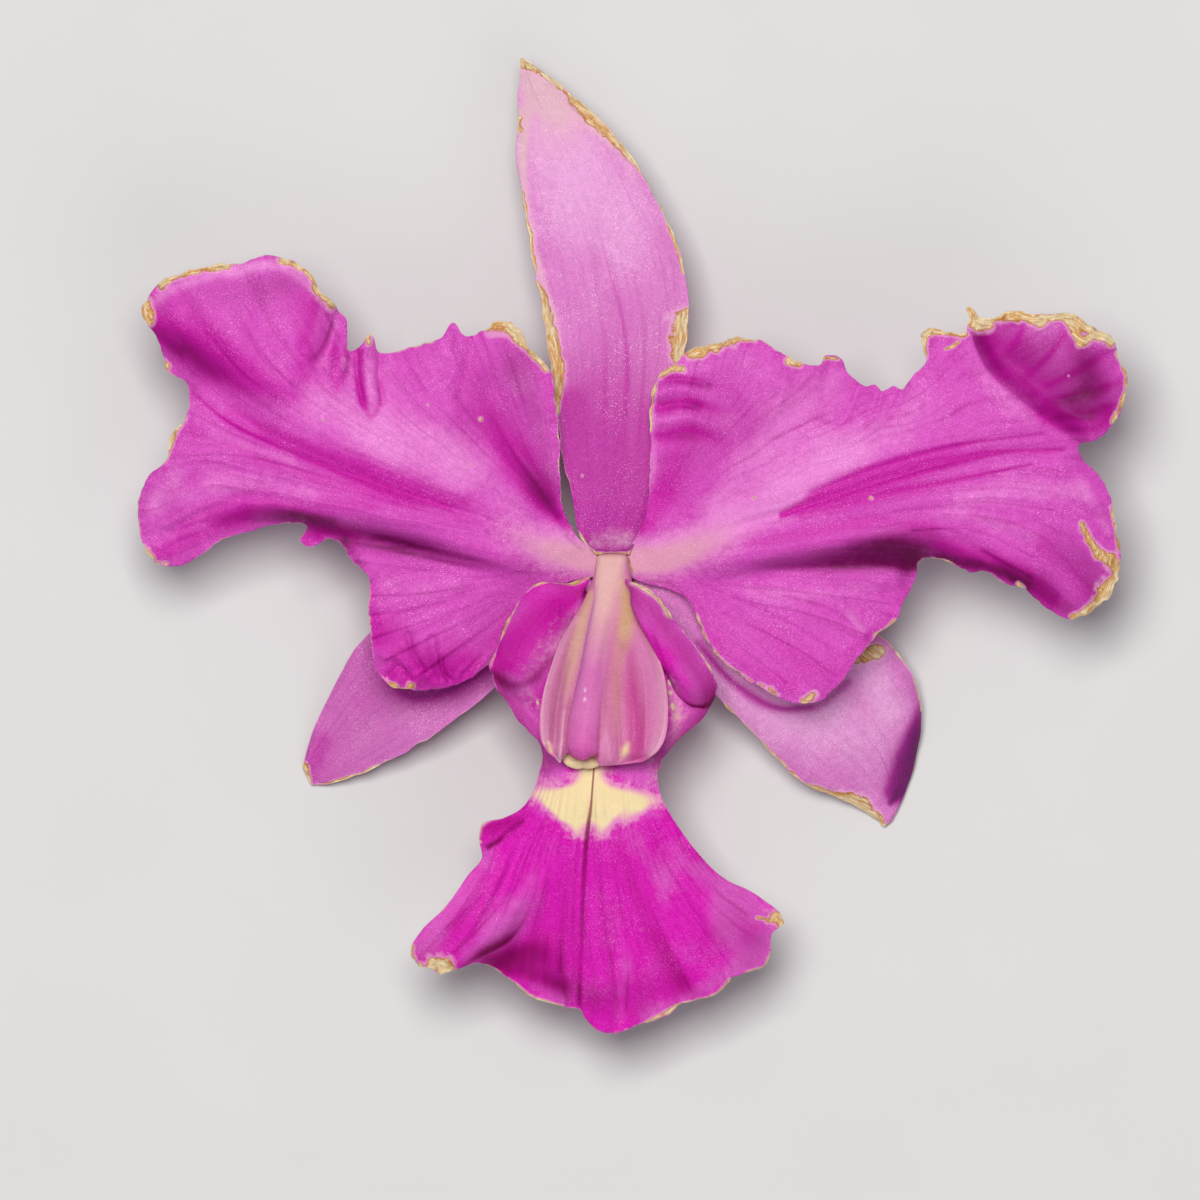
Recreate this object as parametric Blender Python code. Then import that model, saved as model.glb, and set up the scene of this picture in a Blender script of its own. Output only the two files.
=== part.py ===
"""Cattleya orchid flower, picked, lying face up on its two lower sepals and its stalk.

Sizes below are millimetres from the flower's centre: x to the right, y to the upper sepal, z up
from the surface it lies on. The mesh is written in metres, centred over its own outline.
"""
import bpy
import numpy as np
from mathutils import Vector
from mathutils.geometry import delaunay_2d_cdt

# Driving dimensions (mm)
MM = 0.001
CENTRE = (-2.05, -0.6)        # flower's centre from the middle of its outline
SEPAL_THICKNESS = 0.85
PETAL_THICKNESS = 0.8
LIP_THICKNESS = 0.75
CLAW_THICKNESS = 1.0          # petals and sepals where they join

# Petal margins, from the upper side of the claw round to its lower side.
LEFT_MARGIN = [
    (-2.3, 0.4), (-3.9, 2.0), (-4.9, 4.2), (-5.2, 8.0), (-5.3, 11.5), (-5.7, 15.0), (-6.3, 18.2),
    (-8.2, 20.5), (-9.7, 22.6), (-11.7, 22.9), (-14.3, 21.5), (-15.9, 22.9), (-17.0, 21.4),
    (-20.0, 20.5), (-23.2, 20.0), (-23.8, 21.4), (-24.5, 21.8), (-25.0, 20.8), (-26.3, 20.2),
    (-26.5, 23.0), (-27.5, 24.2), (-28.2, 25.3), (-29.4, 26.4), (-29.9, 27.6), (-31.5, 28.8),
    (-34.1, 29.6), (-37.0, 28.9), (-40.5, 28.4), (-43.5, 27.8), (-45.4, 26.6), (-46.7, 24.9),
    (-46.6, 23.3), (-45.6, 21.5), (-44.9, 19.4), (-44.6, 18.3), (-42.8, 17.1), (-42.2, 15.0),
    (-42.8, 13.3), (-43.9, 11.6), (-44.8, 9.2), (-46.3, 7.6), (-47.3, 5.2), (-47.4, 2.6),
    (-46.8, 0.2), (-45.6, -1.2), (-43.2, -1.3), (-40.8, -0.1), (-38.8, 1.3), (-36.0, 2.2),
    (-33.2, 2.8), (-30.4, 2.6), (-31.2, 1.2), (-30.4, 0.5), (-28.1, 1.4), (-27.0, 0.7),
    (-26.0, -0.8), (-24.4, -2.6), (-24.4, -6.0), (-24.1, -9.0), (-23.6, -11.8), (-22.0, -13.4),
    (-20.0, -13.8), (-17.6, -13.8), (-15.0, -13.1), (-12.2, -11.2), (-9.5, -8.0), (-6.6, -4.6),
    (-4.2, -3.0), (-2.3, -2.1)]
RIGHT_MARGIN = [
    (2.5, 0.5), (3.1, 3.0), (3.7, 5.6), (3.85, 9.0), (3.85, 12.0), (3.7, 14.2), (4.1, 16.3),
    (5.0, 18.0), (6.1, 18.6), (7.6, 20.1), (9.8, 20.7), (12.0, 21.3), (14.6, 21.3), (16.4, 20.2),
    (18.0, 19.3), (19.6, 18.7), (20.8, 18.6), (21.3, 19.5), (22.8, 19.4), (23.6, 18.0),
    (25.3, 16.6), (26.3, 16.7), (27.0, 16.0), (28.1, 16.6), (28.9, 16.2), (29.7, 17.2),
    (31.2, 19.0), (31.0, 21.9), (33.2, 22.2), (35.4, 21.9), (35.6, 24.4), (37.2, 23.3),
    (39.9, 24.1), (42.5, 23.6), (44.8, 23.9), (46.5, 23.5), (48.1, 22.6), (50.0, 21.4),
    (50.7, 19.4), (51.5, 17.6), (51.3, 15.4), (50.2, 12.9), (48.4, 11.3), (46.6, 10.6),
    (47.2, 9.1), (48.6, 7.8), (49.8, 5.5), (50.3, 3.0), (50.9, 0.6), (50.7, -2.0), (49.8, -4.6),
    (48.0, -5.9), (46.1, -6.8), (44.2, -6.1), (42.4, -4.7), (41.0, -3.6), (39.3, -3.2),
    (37.4, -1.9), (35.6, -2.0), (33.2, -0.8), (30.8, -0.8), (30.4, -2.6), (29.2, -4.9),
    (28.4, -6.8), (26.6, -8.3), (24.8, -10.4), (23.0, -12.9), (21.2, -14.6), (19.0, -15.1),
    (16.6, -14.5), (14.0, -13.0), (11.4, -11.3), (9.6, -9.0), (8.4, -6.3), (7.2, -4.4),
    (5.2, -3.6), (3.5, -3.1), (2.4, -2.3)]
PETAL_MESH = 1.7              # distance between a petal's inner points

# Heights the petals pass through: x, y, z
LEFT_HEIGHTS = [
    (-2.2, -0.9, 15.0), (-5, 1.0, 15.9), (-10, 3.2, 17.4), (-15, 5.8, 18.7), (-20, 9.3, 19.6),
    (-26, 12.8, 20.2), (-31, 15, 20.6), (-6.3, 4.6, 15.5), (-10, 10, 16.2), (-12, 15, 17.2),
    (-5.2, 8, 16.9), (-5.5, 13, 17.6), (-7.5, 19, 17.9), (-10.5, 22.5, 18.0), (-9, 15.5, 18.0),
    (-16, 22, 18.6), (-16.5, 14, 18.8), (-22, 20, 19.4), (-16, 2.3, 18.3), (-25, 5.5, 19.4),
    (-33, 8.5, 19.7), (-10, -0.4, 17.3), (-20, 2.6, 18.9), (-28, 4.6, 19.2), (-36, 5.2, 18.6),
    (-8, -3.6, 14.6), (-14, -4.5, 15.6), (-19.5, -2.5, 16.0), (-20, -8, 16.8), (-16, -11, 16.3),
    (-22.5, -11.5, 15.4), (-19, -13.5, 15.0), (-27, 0.5, 16.6), (-37, 24, 20.6), (-33, 28, 20.4),
    (-44.5, 25, 19.4), (-30, 22, 20.2), (-42.3, 15.5, 17.8), (-40, 10.5, 19.0), (-43, 5, 17.6),
    (-47, 3, 15.4), (-44.5, -0.8, 15.2), (-39, 1.8, 16.6), (-33, 3, 17.0)]
RIGHT_HEIGHTS = [
    (2.4, -0.9, 15.0), (6, 0.7, 16.0), (11, 2.4, 17.7), (17, 4.8, 19.4), (24, 8.4, 20.8),
    (31, 11.2, 21.6), (38, 12, 21.8), (44, 11.2, 21.2), (3.3, 3.2, 15.9), (6.2, 5.2, 15.8),
    (3.9, 9, 17.2), (8.5, 10, 16.8), (3.9, 14, 17.8), (6, 18, 18.0), (9, 20.3, 18.2),
    (14, 21, 18.6), (12, 14.5, 17.8), (20, 18.5, 19.4), (22, 14.5, 20.0), (28, 16, 21.0),
    (33, 21, 21.8), (36, 16, 21.6), (43, 20, 22.0), (48.5, 21.5, 21.0), (51, 17, 19.4),
    (47, 14, 20.4), (18, 2.2, 19.0), (26, 4.6, 20.6), (33, 6, 21.4), (40, 5, 21.4),
    (46, 3, 20.0), (50.5, 1, 17.8), (47, -5.5, 17.4), (42, -2.4, 19.4), (10, -0.9, 17.3),
    (18, 0.8, 19.0), (26, 1.8, 20.2), (33, 1.4, 20.4), (39, -1, 19.8), (9, -4.8, 15.0),
    (14, -6, 16.0), (20, -7, 16.4), (26, -4, 16.2), (23, -11, 15.8), (19, -14.6, 15.2),
    (12, -11, 15.6), (29, -4, 15.8)]

# Folds: a line, then how far its left side stands above its right side, and the fold's width.
LEFT_FOLDS = [
    ([(-5, -1.6), (-12, -1.1), (-20, 1.6), (-28, 3.2), (-35, 3.6), (-41, 1.2)], -1.3, 1.7),
    ([(-47, 22.4), (-42, 19.8), (-37, 16.8), (-31.5, 13.8)], 1.2, 2.2),
    ([(-29.6, 17.5), (-29.0, 20.5), (-28.2, 23.0), (-27.8, 25.5)], 0.7, 1.2)]
RIGHT_FOLDS = [
    ([(5, -2.4), (11, -1.9), (18, -0.6), (26, 0.2), (32, -0.2), (38, -2.8)], 1.3, 1.7),
    ([(37.0, 25.4), (38.4, 20.6), (40.0, 15.2)], -1.4, 2.0),
    ([(40.0, 15.2), (43.4, 12.4), (47.0, 9.8)], 1.0, 1.6)]
# Ridges (positive) and grooves: a line, the height and the width.
LEFT_RIDGES = [
    ([(-6, 0.6), (-16, 4.4), (-26, 8.0), (-35, 12.0), (-41, 16.2)], -0.7, 1.0),
    ([(-27.4, 24.6), (-27.6, 20.5), (-28.0, 16.5)], 1.0, 0.9),
    ([(-24.4, 22.2), (-24.3, 19.0), (-23.9, 14.8)], 1.0, 0.8)]
RIGHT_RIDGES = [([(9, 1.0), (17, 4.0), (27, 7.4), (36, 9.7), (46, 10.3)], -0.7, 1.0),
                ([(22.2, 20.2), (22.0, 16.0), (21.4, 12.5)], 0.6, 1.3)]

# Sepals: pairs of edge points (left, right) with the height of the middle, from claw to tip.
DORSAL = [
    ((-1.8, 0.35), (1.8, 0.35), 13.5), ((-3.5, 2.4), (3.0, 2.4), 13.5),
    ((-3.9, 5), (3.9, 5), 13.5), ((-5.0, 10), (5.2, 10), 13.4), ((-5.7, 15), (6.4, 15), 13.2),
    ((-6.3, 20), (7.3, 20), 12.8), ((-7.1, 25), (7.6, 25.4), 12.3), ((-8.1, 30), (6.7, 30.4), 11.6),
    ((-8.9, 35), (4.2, 35.7), 10.8), ((-9.5, 39.5), (1.4, 40.4), 9.8),
    ((-9.5, 43.2), (-1.9, 43.9), 8.9), ((-9.3, 46.5), (-5.2, 46.9), 8.0),
    ((-9.2, 49.2), (-8.8, 49.3), 7.3)]
LOWER_LEFT = [
    ((-2.9, -1.6), (-1.0, -4.2), 13.4), ((-6.2, -0.6), (-4.2, -6.8), 12.8),
    ((-12.0, -1.2), (-8.0, -10.4), 11.2), ((-18.0, -3.2), (-12.6, -14.4), 8.9),
    ((-22.6, -6.2), (-17.6, -18.1), 6.4), ((-26.2, -10.4), (-22.6, -21.1), 3.9),
    ((-28.8, -15.1), (-26.4, -22.7), 1.9), ((-30.4, -18.9), (-28.6, -23.3), 0.9),
    ((-31.1, -21.6), (-30.2, -23.4), 0.5)]
LOWER_RIGHT = [
    ((1.2, -4.3), (3.1, -1.6), 13.4), ((4.4, -6.9), (7.0, -0.6), 12.8),
    ((7.4, -11.0), (13.5, -1.2), 11.4), ((11.4, -15.3), (20.0, -3.4), 9.4),
    ((15.6, -19.6), (26.0, -7.4), 7.0), ((19.0, -23.0), (29.9, -11.8), 4.8),
    ((22.4, -24.4), (31.1, -15.8), 3.0), ((25.2, -25.8), (30.6, -20.2), 1.5),
    ((26.8, -27.1), (29.6, -23.8), 0.7), ((27.4, -27.6), (28.1, -27.0), 0.5)]

# Lip tube: rows from the claw to the narrow neck. Each row runs from the left margin over the ear's
# crest and inner fold, down the wall to the middle under the column, and up the other side.
LIP_ROWS = [
    [(-2.4, -2.6, 18.3), (-2.8, -3.1, 17.9), (-3.0, -3.5, 17.2), (-2.9, -4.0, 16.2),
     (-1.6, -4.3, 14.9), (0.0, -4.4, 14.7), (1.6, -4.3, 14.9), (3.0, -4.0, 16.4),
     (3.0, -3.7, 17.6), (2.8, -3.3, 18.7), (2.4, -2.9, 19.6)],
    [(-4.6, -3.2, 18.4), (-4.4, -3.8, 18.7), (-4.2, -4.7, 18.2), (-3.7, -5.6, 16.8),
     (-2.0, -6.2, 15.2), (0.0, -6.3, 14.9), (2.0, -6.2, 15.2), (3.6, -5.8, 17.2),
     (3.2, -5.2, 19.4), (3.3, -4.6, 20.3), (3.9, -3.9, 20.5)],
    [(-7.3, -3.1, 18.7), (-6.4, -4.6, 19.3), (-5.9, -5.9, 19.0), (-5.0, -7.2, 17.7),
     (-2.6, -8.0, 15.7), (-0.1, -8.1, 15.0), (2.5, -8.0, 15.7), (4.5, -7.8, 18.0),
     (3.7, -7.1, 20.6), (4.3, -6.3, 21.1), (5.4, -5.5, 20.5)],
    [(-9.5, -5.1, 18.8), (-8.3, -6.6, 19.7), (-7.2, -8.2, 19.6), (-5.6, -9.6, 18.4),
     (-3.2, -10.3, 16.4), (-0.3, -10.4, 15.3), (3.0, -10.4, 16.4), (5.4, -10.3, 18.6),
     (4.9, -9.2, 20.6), (5.8, -8.3, 21.0), (7.0, -7.6, 20.4)],
    [(-11.1, -8.7, 18.6), (-9.8, -9.4, 19.6), (-8.5, -10.7, 19.8), (-6.5, -12.0, 18.9),
     (-3.8, -12.6, 17.1), (-0.6, -12.7, 15.9), (3.5, -12.8, 17.0), (6.0, -12.8, 18.6),
     (5.8, -11.5, 20.3), (7.2, -10.5, 20.8), (8.5, -9.6, 20.1)],
    [(-12.1, -11.4, 18.2), (-10.5, -12.1, 18.8), (-8.9, -13.0, 18.9), (-6.8, -14.2, 18.2),
     (-4.2, -14.9, 17.2), (-0.9, -15.0, 16.7), (3.8, -15.0, 17.2), (6.4, -14.9, 18.0),
     (7.2, -13.6, 19.3), (8.7, -13.0, 19.8), (10.0, -12.0, 19.3)],
    [(-11.2, -14.0, 17.2), (-9.6, -14.8, 17.0), (-8.1, -15.7, 17.0), (-6.5, -16.5, 17.3),
     (-4.2, -17.0, 17.5), (-1.2, -17.1, 17.5), (3.6, -17.1, 17.6), (6.1, -16.9, 17.3),
     (7.8, -15.6, 17.6), (9.2, -15.0, 18.0), (10.4, -13.9, 18.1)],
    [(-8.9, -17.4, 17.2), (-7.9, -17.8, 17.3), (-6.9, -18.4, 17.5), (-5.6, -18.9, 17.9),
     (-3.8, -19.1, 18.3), (-1.4, -19.2, 18.5), (2.6, -19.2, 18.4), (4.4, -19.1, 18.0),
     (6.2, -18.3, 17.4), (7.7, -17.6, 17.1), (9.2, -16.6, 17.0)],
    [(-7.2, -19.4, 17.6), (-6.6, -19.8, 17.9), (-6.0, -20.1, 18.3), (-5.0, -20.4, 18.8),
     (-3.6, -20.5, 19.1), (-1.6, -20.6, 19.2), (1.2, -20.6, 19.1), (3.0, -20.6, 18.7),
     (4.2, -20.4, 18.2), (5.0, -20.1, 17.8), (5.8, -19.6, 17.5)],
    [(-7.1, -21.4, 18.2), (-6.4, -21.5, 18.6), (-5.7, -21.6, 19.0), (-4.7, -21.7, 19.4),
     (-3.5, -21.8, 19.7), (-1.7, -21.9, 19.9), (0.4, -21.9, 19.8), (1.8, -21.9, 19.5),
     (2.9, -21.9, 19.1), (3.8, -21.9, 18.7), (4.5, -21.9, 18.3)]]
# Mid-lobe: its two sides from the neck to the corners, and its end margin from left to right.
LOBE_LEFT = [(-7.1, -21.4), (-7.5, -23.0), (-8.3, -24.6), (-9.8, -26.4), (-11.3, -26.6),
             (-13.0, -27.2), (-13.8, -28.2), (-12.6, -29.6), (-14.6, -32.6), (-16.6, -35.4),
             (-18.6, -37.3), (-20.1, -39.3)]
LOBE_RIGHT = [(4.5, -21.9), (4.7, -23.8), (5.6, -25.8), (7.0, -28.0), (9.2, -30.8),
              (11.4, -32.8), (12.9, -33.4), (15.2, -34.8), (16.3, -35.6)]
LOBE_END = [
    (-20.1, -39.3), (-20.1, -40.6), (-19.4, -41.3), (-18.3, -41.6), (-17.1, -42.2),
    (-15.9, -41.9), (-13.8, -41.2), (-12.0, -41.5), (-9.8, -43.2), (-8.2, -44.5), (-6.2, -45.2),
    (-4.4, -45.6), (-3.2, -45.8), (-2.6, -46.8), (-1.6, -47.8), (0.3, -48.2), (2.2, -47.5),
    (4.2, -46.9), (5.8, -46.3), (7.0, -45.3), (8.8, -44.7), (10.6, -44.2), (11.5, -43.4),
    (12.2, -42.4), (13.8, -42.1), (15.3, -41.4), (15.9, -40.0), (16.0, -38.2), (17.2, -37.1),
    (16.9, -36.3), (16.3, -35.6)]
LOBE_HEIGHTS = [
    (-1.8, -24, 20.2), (-6, -24.5, 19.4), (3, -24.5, 19.6), (-2.3, -28, 19.6), (-10, -28.5, 17.4),
    (-13.6, -28, 16.0), (6, -28, 18.4), (-2.8, -33, 18.0), (-9, -33, 18.6), (-14, -33, 17.2),
    (4, -33, 18.0), (11, -33.5, 16.4), (-3, -38, 16.2), (-15, -38.5, 17.8), (-19.6, -39.6, 16.8),
    (-17, -42, 16.4), (-8, -41, 14.8), (3, -39, 16.4), (10, -38, 16.8), (16.4, -36.6, 15.4),
    (-5, -45.4, 14.0), (0.3, -48, 14.4), (6, -44.5, 14.2), (11, -42.5, 15.2), (15, -40, 14.8)]
LOBE_RIDGES = [
    ([(-1.8, -22), (-2.2, -26), (-2.8, -32), (-3.1, -38), (-3.2, -45)], -0.5, 0.7),
    ([(1.5, -34), (2.0, -39), (1.2, -45), (0.4, -48)], 0.7, 1.8),
    ([(2.6, -36), (4.8, -40.5), (8.0, -44.8)], -0.7, 1.4)]
LOBE_FOLDS = [([(-5.5, -31), (-8.5, -35.5), (-11.6, -39.4), (-14, -42)], -1.3, 1.8)]

# Column: stations from foot to tip. Upper face: y, left edge, crest, right edge, height.
# Lower face: y and height of its middle.
COLUMN = [
    (-0.15, -1.9, 0.05, 2.05, 12.9, -3.6, 12.9), (-0.1, -1.9, 0.05, 2.05, 15.2, -3.75, 14.3),
    (-0.35, -1.55, 0.1, 1.65, 17.1, -3.85, 15.1), (-1.2, -1.65, 0.1, 1.7, 17.7, -4.1, 15.4),
    (-2.4, -1.85, 0.0, 1.9, 18.2, -4.6, 15.6), (-3.6, -2.3, -0.1, 2.05, 18.7, -5.2, 15.8),
    (-5.0, -2.9, -0.2, 2.2, 19.3, -6.0, 16.2), (-7.0, -4.1, -0.5, 2.8, 20.2, -7.5, 16.9),
    (-9.0, -5.2, -0.9, 3.8, 21.3, -9.2, 17.7), (-11.5, -6.0, -1.3, 4.9, 22.5, -11.5, 18.8),
    (-14.0, -6.75, -1.8, 5.45, 23.7, -14.0, 19.8), (-16.5, -7.1, -2.2, 5.6, 24.6, -16.5, 20.8),
    (-18.6, -7.1, -2.6, 5.3, 25.1, -18.6, 21.6), (-20.0, -6.5, -2.8, 4.6, 25.0, -20.0, 22.2),
    (-20.9, -5.4, -2.6, 3.6, 24.4, -20.9, 22.7)]
COLUMN_RIM = 0.8              # thickness of the wings' edges
COLUMN_DROP = 0.12            # how far the wings fall below the crest, for each mm of reach
ANTHER = (-2.9, -20.75, 21.45, 2.0, 1.0, 0.7)   # centre x, y, z and radii

# Stalk: centre line x, y, z and radius; it bends back behind the flower and lies along the surface.
STALK = [
    (0.0, -1.6, 12.6, 2.9), (0.0, -1.6, 11.6, 2.8), (-0.1, -1.4, 10.2, 2.3), (-0.2, -0.9, 7.8, 2.0),
    (-0.3, 0.8, 5.2, 1.95), (-0.5, 4.2, 3.0, 1.9), (-0.7, 9.0, 1.8, 1.8), (-0.9, 15.0, 1.5, 1.65),
    (-1.0, 22.0, 1.45, 1.6), (-1.1, 30.0, 1.45, 1.6), (-1.2, 37.5, 1.45, 1.7)]

COLOURS = {
    "dorsal_sepal": (0.62, 0.22, 0.52), "left_lateral_sepal": (0.55, 0.16, 0.42),
    "right_lateral_sepal": (0.60, 0.20, 0.50), "left_petal": (0.60, 0.07, 0.42),
    "right_petal": (0.60, 0.07, 0.42), "lip": (0.55, 0.02, 0.36), "column": (0.62, 0.20, 0.42),
    "anther_cap": (0.78, 0.62, 0.40), "flower_stalk": (0.36, 0.42, 0.18)}


def smooth(t):
    t = np.clip(t, 0, 1)
    return t * t * (3 - 2 * t)


def through(points, k):
    """Smooth line through hand-set points; k counts the points from 0."""
    p = np.asarray(points, float)
    step = np.sqrt(np.linalg.norm(np.diff(p, axis=0), axis=1)) + 1e-6
    knot = np.concatenate([[0], np.cumsum(step)])
    slope = np.gradient(p, knot, axis=0)
    k = np.asarray(k, float)
    i = np.clip(k.astype(int), 0, len(p) - 2)
    t = (k - i)[..., None]
    h = step[i][..., None]
    return ((1 + 2 * t) * (1 - t) ** 2 * p[i] + t * (1 - t) ** 2 * h * slope[i]
            + t * t * (3 - 2 * t) * p[i + 1] + t * t * (t - 1) * h * slope[i + 1])


def along(points, f):
    """Point at the share f of a line's length."""
    fine = through(points, np.linspace(0, len(points) - 1, 24 * len(points)))
    s = np.concatenate([[0], np.cumsum(np.linalg.norm(np.diff(fine, axis=0), axis=1))])
    return np.stack([np.interp(f, s / s[-1], fine[:, c]) for c in range(fine.shape[1])], -1)


def beside(x, y, line):
    """Share of a line's length nearest to x, y and the distance, positive on the line's left."""
    p = along(line, np.linspace(0, 1, 25))
    best = np.full(np.shape(x), 1e9)
    share = np.zeros(np.shape(x))
    side = np.zeros(np.shape(x))
    for i in range(len(p) - 1):
        a = p[i]
        d = p[i + 1] - a
        t = np.clip(((x - a[0]) * d[0] + (y - a[1]) * d[1]) / (d @ d), 0, 1)
        rx = x - a[0] - t * d[0]
        ry = y - a[1] - t * d[1]
        r = np.hypot(rx, ry)
        near = r < best
        best = np.where(near, r, best)
        share = np.where(near, (i + t) / (len(p) - 1), share)
        side = np.where(near, np.sign(d[0] * ry - d[1] * rx) * r, side)
    return share, side


def fade(share, reach=0.16):
    return smooth(np.minimum(share, 1 - share) / reach)


def relief(x, y, folds, ridges):
    """Folds rise on one side of a line and sink on the other; ridges rise along it."""
    z = np.zeros(np.shape(x))
    for line, height, width in folds:
        share, side = beside(x, y, line)
        q = side / width
        z += height * fade(share) * q * np.exp((1 - q * q) / 2)
    for line, height, width in ridges:
        share, side = beside(x, y, line)
        z += height * fade(share) * np.exp(-(side / width) ** 2)
    return z


def thin_plate(x, y, spots):
    """Height of the smoothest sheet through the spots."""
    s = np.asarray(spots, float)

    def kernel(r2):
        return r2 * np.log(r2 + 1e-9)

    n = len(s)
    r2 = (s[:, None, 0] - s[None, :, 0]) ** 2 + (s[:, None, 1] - s[None, :, 1]) ** 2
    a = np.zeros((n + 3, n + 3))
    a[:n, :n] = kernel(r2) + 4.0 * np.eye(n)
    a[:n, n] = 1
    a[:n, n + 1:] = s[:, :2]
    a[n:, :n] = a[:n, n:].T
    w = np.linalg.solve(a, np.concatenate([s[:, 2], np.zeros(3)]))
    z = w[n] + w[n + 1] * x + w[n + 2] * y
    for i in range(n):
        z = z + w[i] * kernel((x - s[i, 0]) ** 2 + (y - s[i, 1]) ** 2)
    return z


def height(x, y, spots, folds, ridges):
    s = np.asarray(spots, float)
    s[:, 2] -= relief(s[:, 0], s[:, 1], folds, ridges)
    return thin_plate(x, y, s) + relief(x, y, folds, ridges)


def relax(p, rounds):
    """Even out a plan grid between fixed sides (a u,u + c v,v - 2 b u,v = 0), so no lines cross."""
    for _ in range(rounds):
        du = (p[2:, 1:-1] - p[:-2, 1:-1]) / 2
        dv = (p[1:-1, 2:] - p[1:-1, :-2]) / 2
        a = (dv * dv).sum(-1, keepdims=True)
        b = (du * dv).sum(-1, keepdims=True)
        c = (du * du).sum(-1, keepdims=True)
        duv = (p[2:, 2:] - p[2:, :-2] - p[:-2, 2:] + p[:-2, :-2]) / 4
        new = a * (p[2:, 1:-1] + p[:-2, 1:-1]) + c * (p[1:-1, 2:] + p[1:-1, :-2]) - 2 * b * duv
        p[1:-1, 1:-1] += 0.8 * (new / (2 * (a + c) + 1e-9) - p[1:-1, 1:-1])
    return p


def inner_points(outline, gap):
    """Points of a triangle lattice inside the outline, none nearer to it than 0.55 of the gap."""
    o = np.array(outline)
    low = o.min(0)
    high = o.max(0)
    points = []
    row = gap * 0.866
    for j in range(int((high[1] - low[1]) / row) + 1):
        for i in range(int((high[0] - low[0]) / gap) + 1):
            points.append((low[0] + (i + (j % 2) * 0.5) * gap, low[1] + j * row))
    p = np.array(points)
    inside = np.zeros(len(p), bool)
    near = np.full(len(p), 1e9)
    for a, b in zip(o, np.roll(o, -1, axis=0)):
        cross = (a[1] > p[:, 1]) != (b[1] > p[:, 1])
        rise = (b[1] - a[1]) or 1e-9
        inside ^= cross & (p[:, 0] < (b[0] - a[0]) * (p[:, 1] - a[1]) / rise + a[0])
        d = b - a
        t = np.clip(((p - a) @ d) / (d @ d), 0, 1)
        near = np.minimum(near, np.linalg.norm(p - a - t[:, None] * d, axis=1))
    return p[inside & (near > 0.55 * gap)]


def petal(name, margin, spots, folds, ridges):
    """A petal: its outline filled with triangles, lifted to its height, both faces alike."""
    points = [Vector(q) for q in margin] + [Vector(q) for q in inner_points(margin, PETAL_MESH)]
    mesh = delaunay_2d_cdt(points, [], [list(range(len(margin)))], 1, 1e-5)
    x, y = np.array([tuple(q) for q in mesh[0]]).T
    claw = np.array(margin[0]) / 2 + np.array(margin[-1]) / 2
    reach = np.hypot(x - claw[0], y - claw[1])

    def level(x, y):
        z = height(x, y, spots, folds, ridges)
        return z + (15.0 - z) * (1 - smooth(np.hypot(x - claw[0], y - claw[1]) / 3.5))

    z = level(x, y)
    slope = np.hypot(level(x + 0.2, y) - z, level(x, y + 0.2) - z) / 0.2
    thick = CLAW_THICKNESS + (PETAL_THICKNESS - CLAW_THICKNESS) * smooth(reach / 8)
    half = np.zeros((len(x), 3))
    half[:, 2] = thick / 2 * np.minimum(np.hypot(1, slope), 2.0)
    leaf(name, np.stack([x, y, z], -1), half, [tuple(f) for f in mesh[2]])


def sepal(s, v, pairs, bow):
    """Point for s across (-1 left edge, 1 right edge) and v from claw to tip."""
    left = through([a for a, b, z in pairs], v)
    right = through([b for a, b, z in pairs], v)
    z = np.interp(v, range(len(pairs)), [z for a, b, z in pairs])
    width = np.linalg.norm(right - left, axis=-1)
    p = left + (right - left) * ((s + 1) / 2)[..., None]
    return np.dstack([p, z + bow * width * (s * s - 0.33) * smooth(v / 3)])


def lip_tube(s, v):
    """Point for s across the eleven lines of the tube (0 to 10) and v along its rows."""
    rows = [through(row, s[0]) for row in LIP_ROWS]
    fine = np.array(rows)
    out = np.empty(s.shape + (3,))
    for i in range(s.shape[1]):
        out[:, i] = through(fine[:, i], v[:, i])
    return out


def lip_lobe(s, r):
    """Point for s across (0 to 1) and r from neck (0) to end margin (1), ruled between the two
    and bent to the sides."""
    neck = through(LIP_ROWS[-1], s * 10)
    end = through(LOBE_END, s * (len(LOBE_END) - 1))
    left = along(LOBE_LEFT, r)
    right = along(LOBE_RIGHT, r)
    a = r[..., None]
    p = (1 - a) * neck[..., :2] + a * end
    ruled_l = (1 - a) * np.array(LOBE_LEFT[0]) + a * np.array(LOBE_LEFT[-1])
    ruled_r = (1 - a) * np.array(LOBE_RIGHT[0]) + a * np.array(LOBE_RIGHT[-1])
    w = s[..., None]
    p = p + (left - ruled_l) * (1 - w) ** 2 + (right - ruled_r) * w ** 2
    p = relax(p, 60)
    z = height(p[..., 0], p[..., 1], LOBE_HEIGHTS, LOBE_FOLDS, LOBE_RIDGES)
    return np.dstack([p, neck[..., 2] + (z - neck[..., 2]) * smooth(r * 4)])


def normals(p):
    du = np.gradient(p, axis=0)
    dv = np.gradient(p, axis=1)
    n = np.cross(du, dv)
    n /= np.linalg.norm(n, axis=-1, keepdims=True) + 1e-12
    if n[..., 2].mean() < 0:
        n = -n
    return n


def grid_triangles(nu, nv):
    tris = []
    for i in range(nu - 1):
        for j in range(nv - 1):
            p, q, r, t = (i, j), (i + 1, j), (i, j + 1), (i + 1, j + 1)
            tris += [(p, q, t), (p, t, r)]
    return tris


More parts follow.
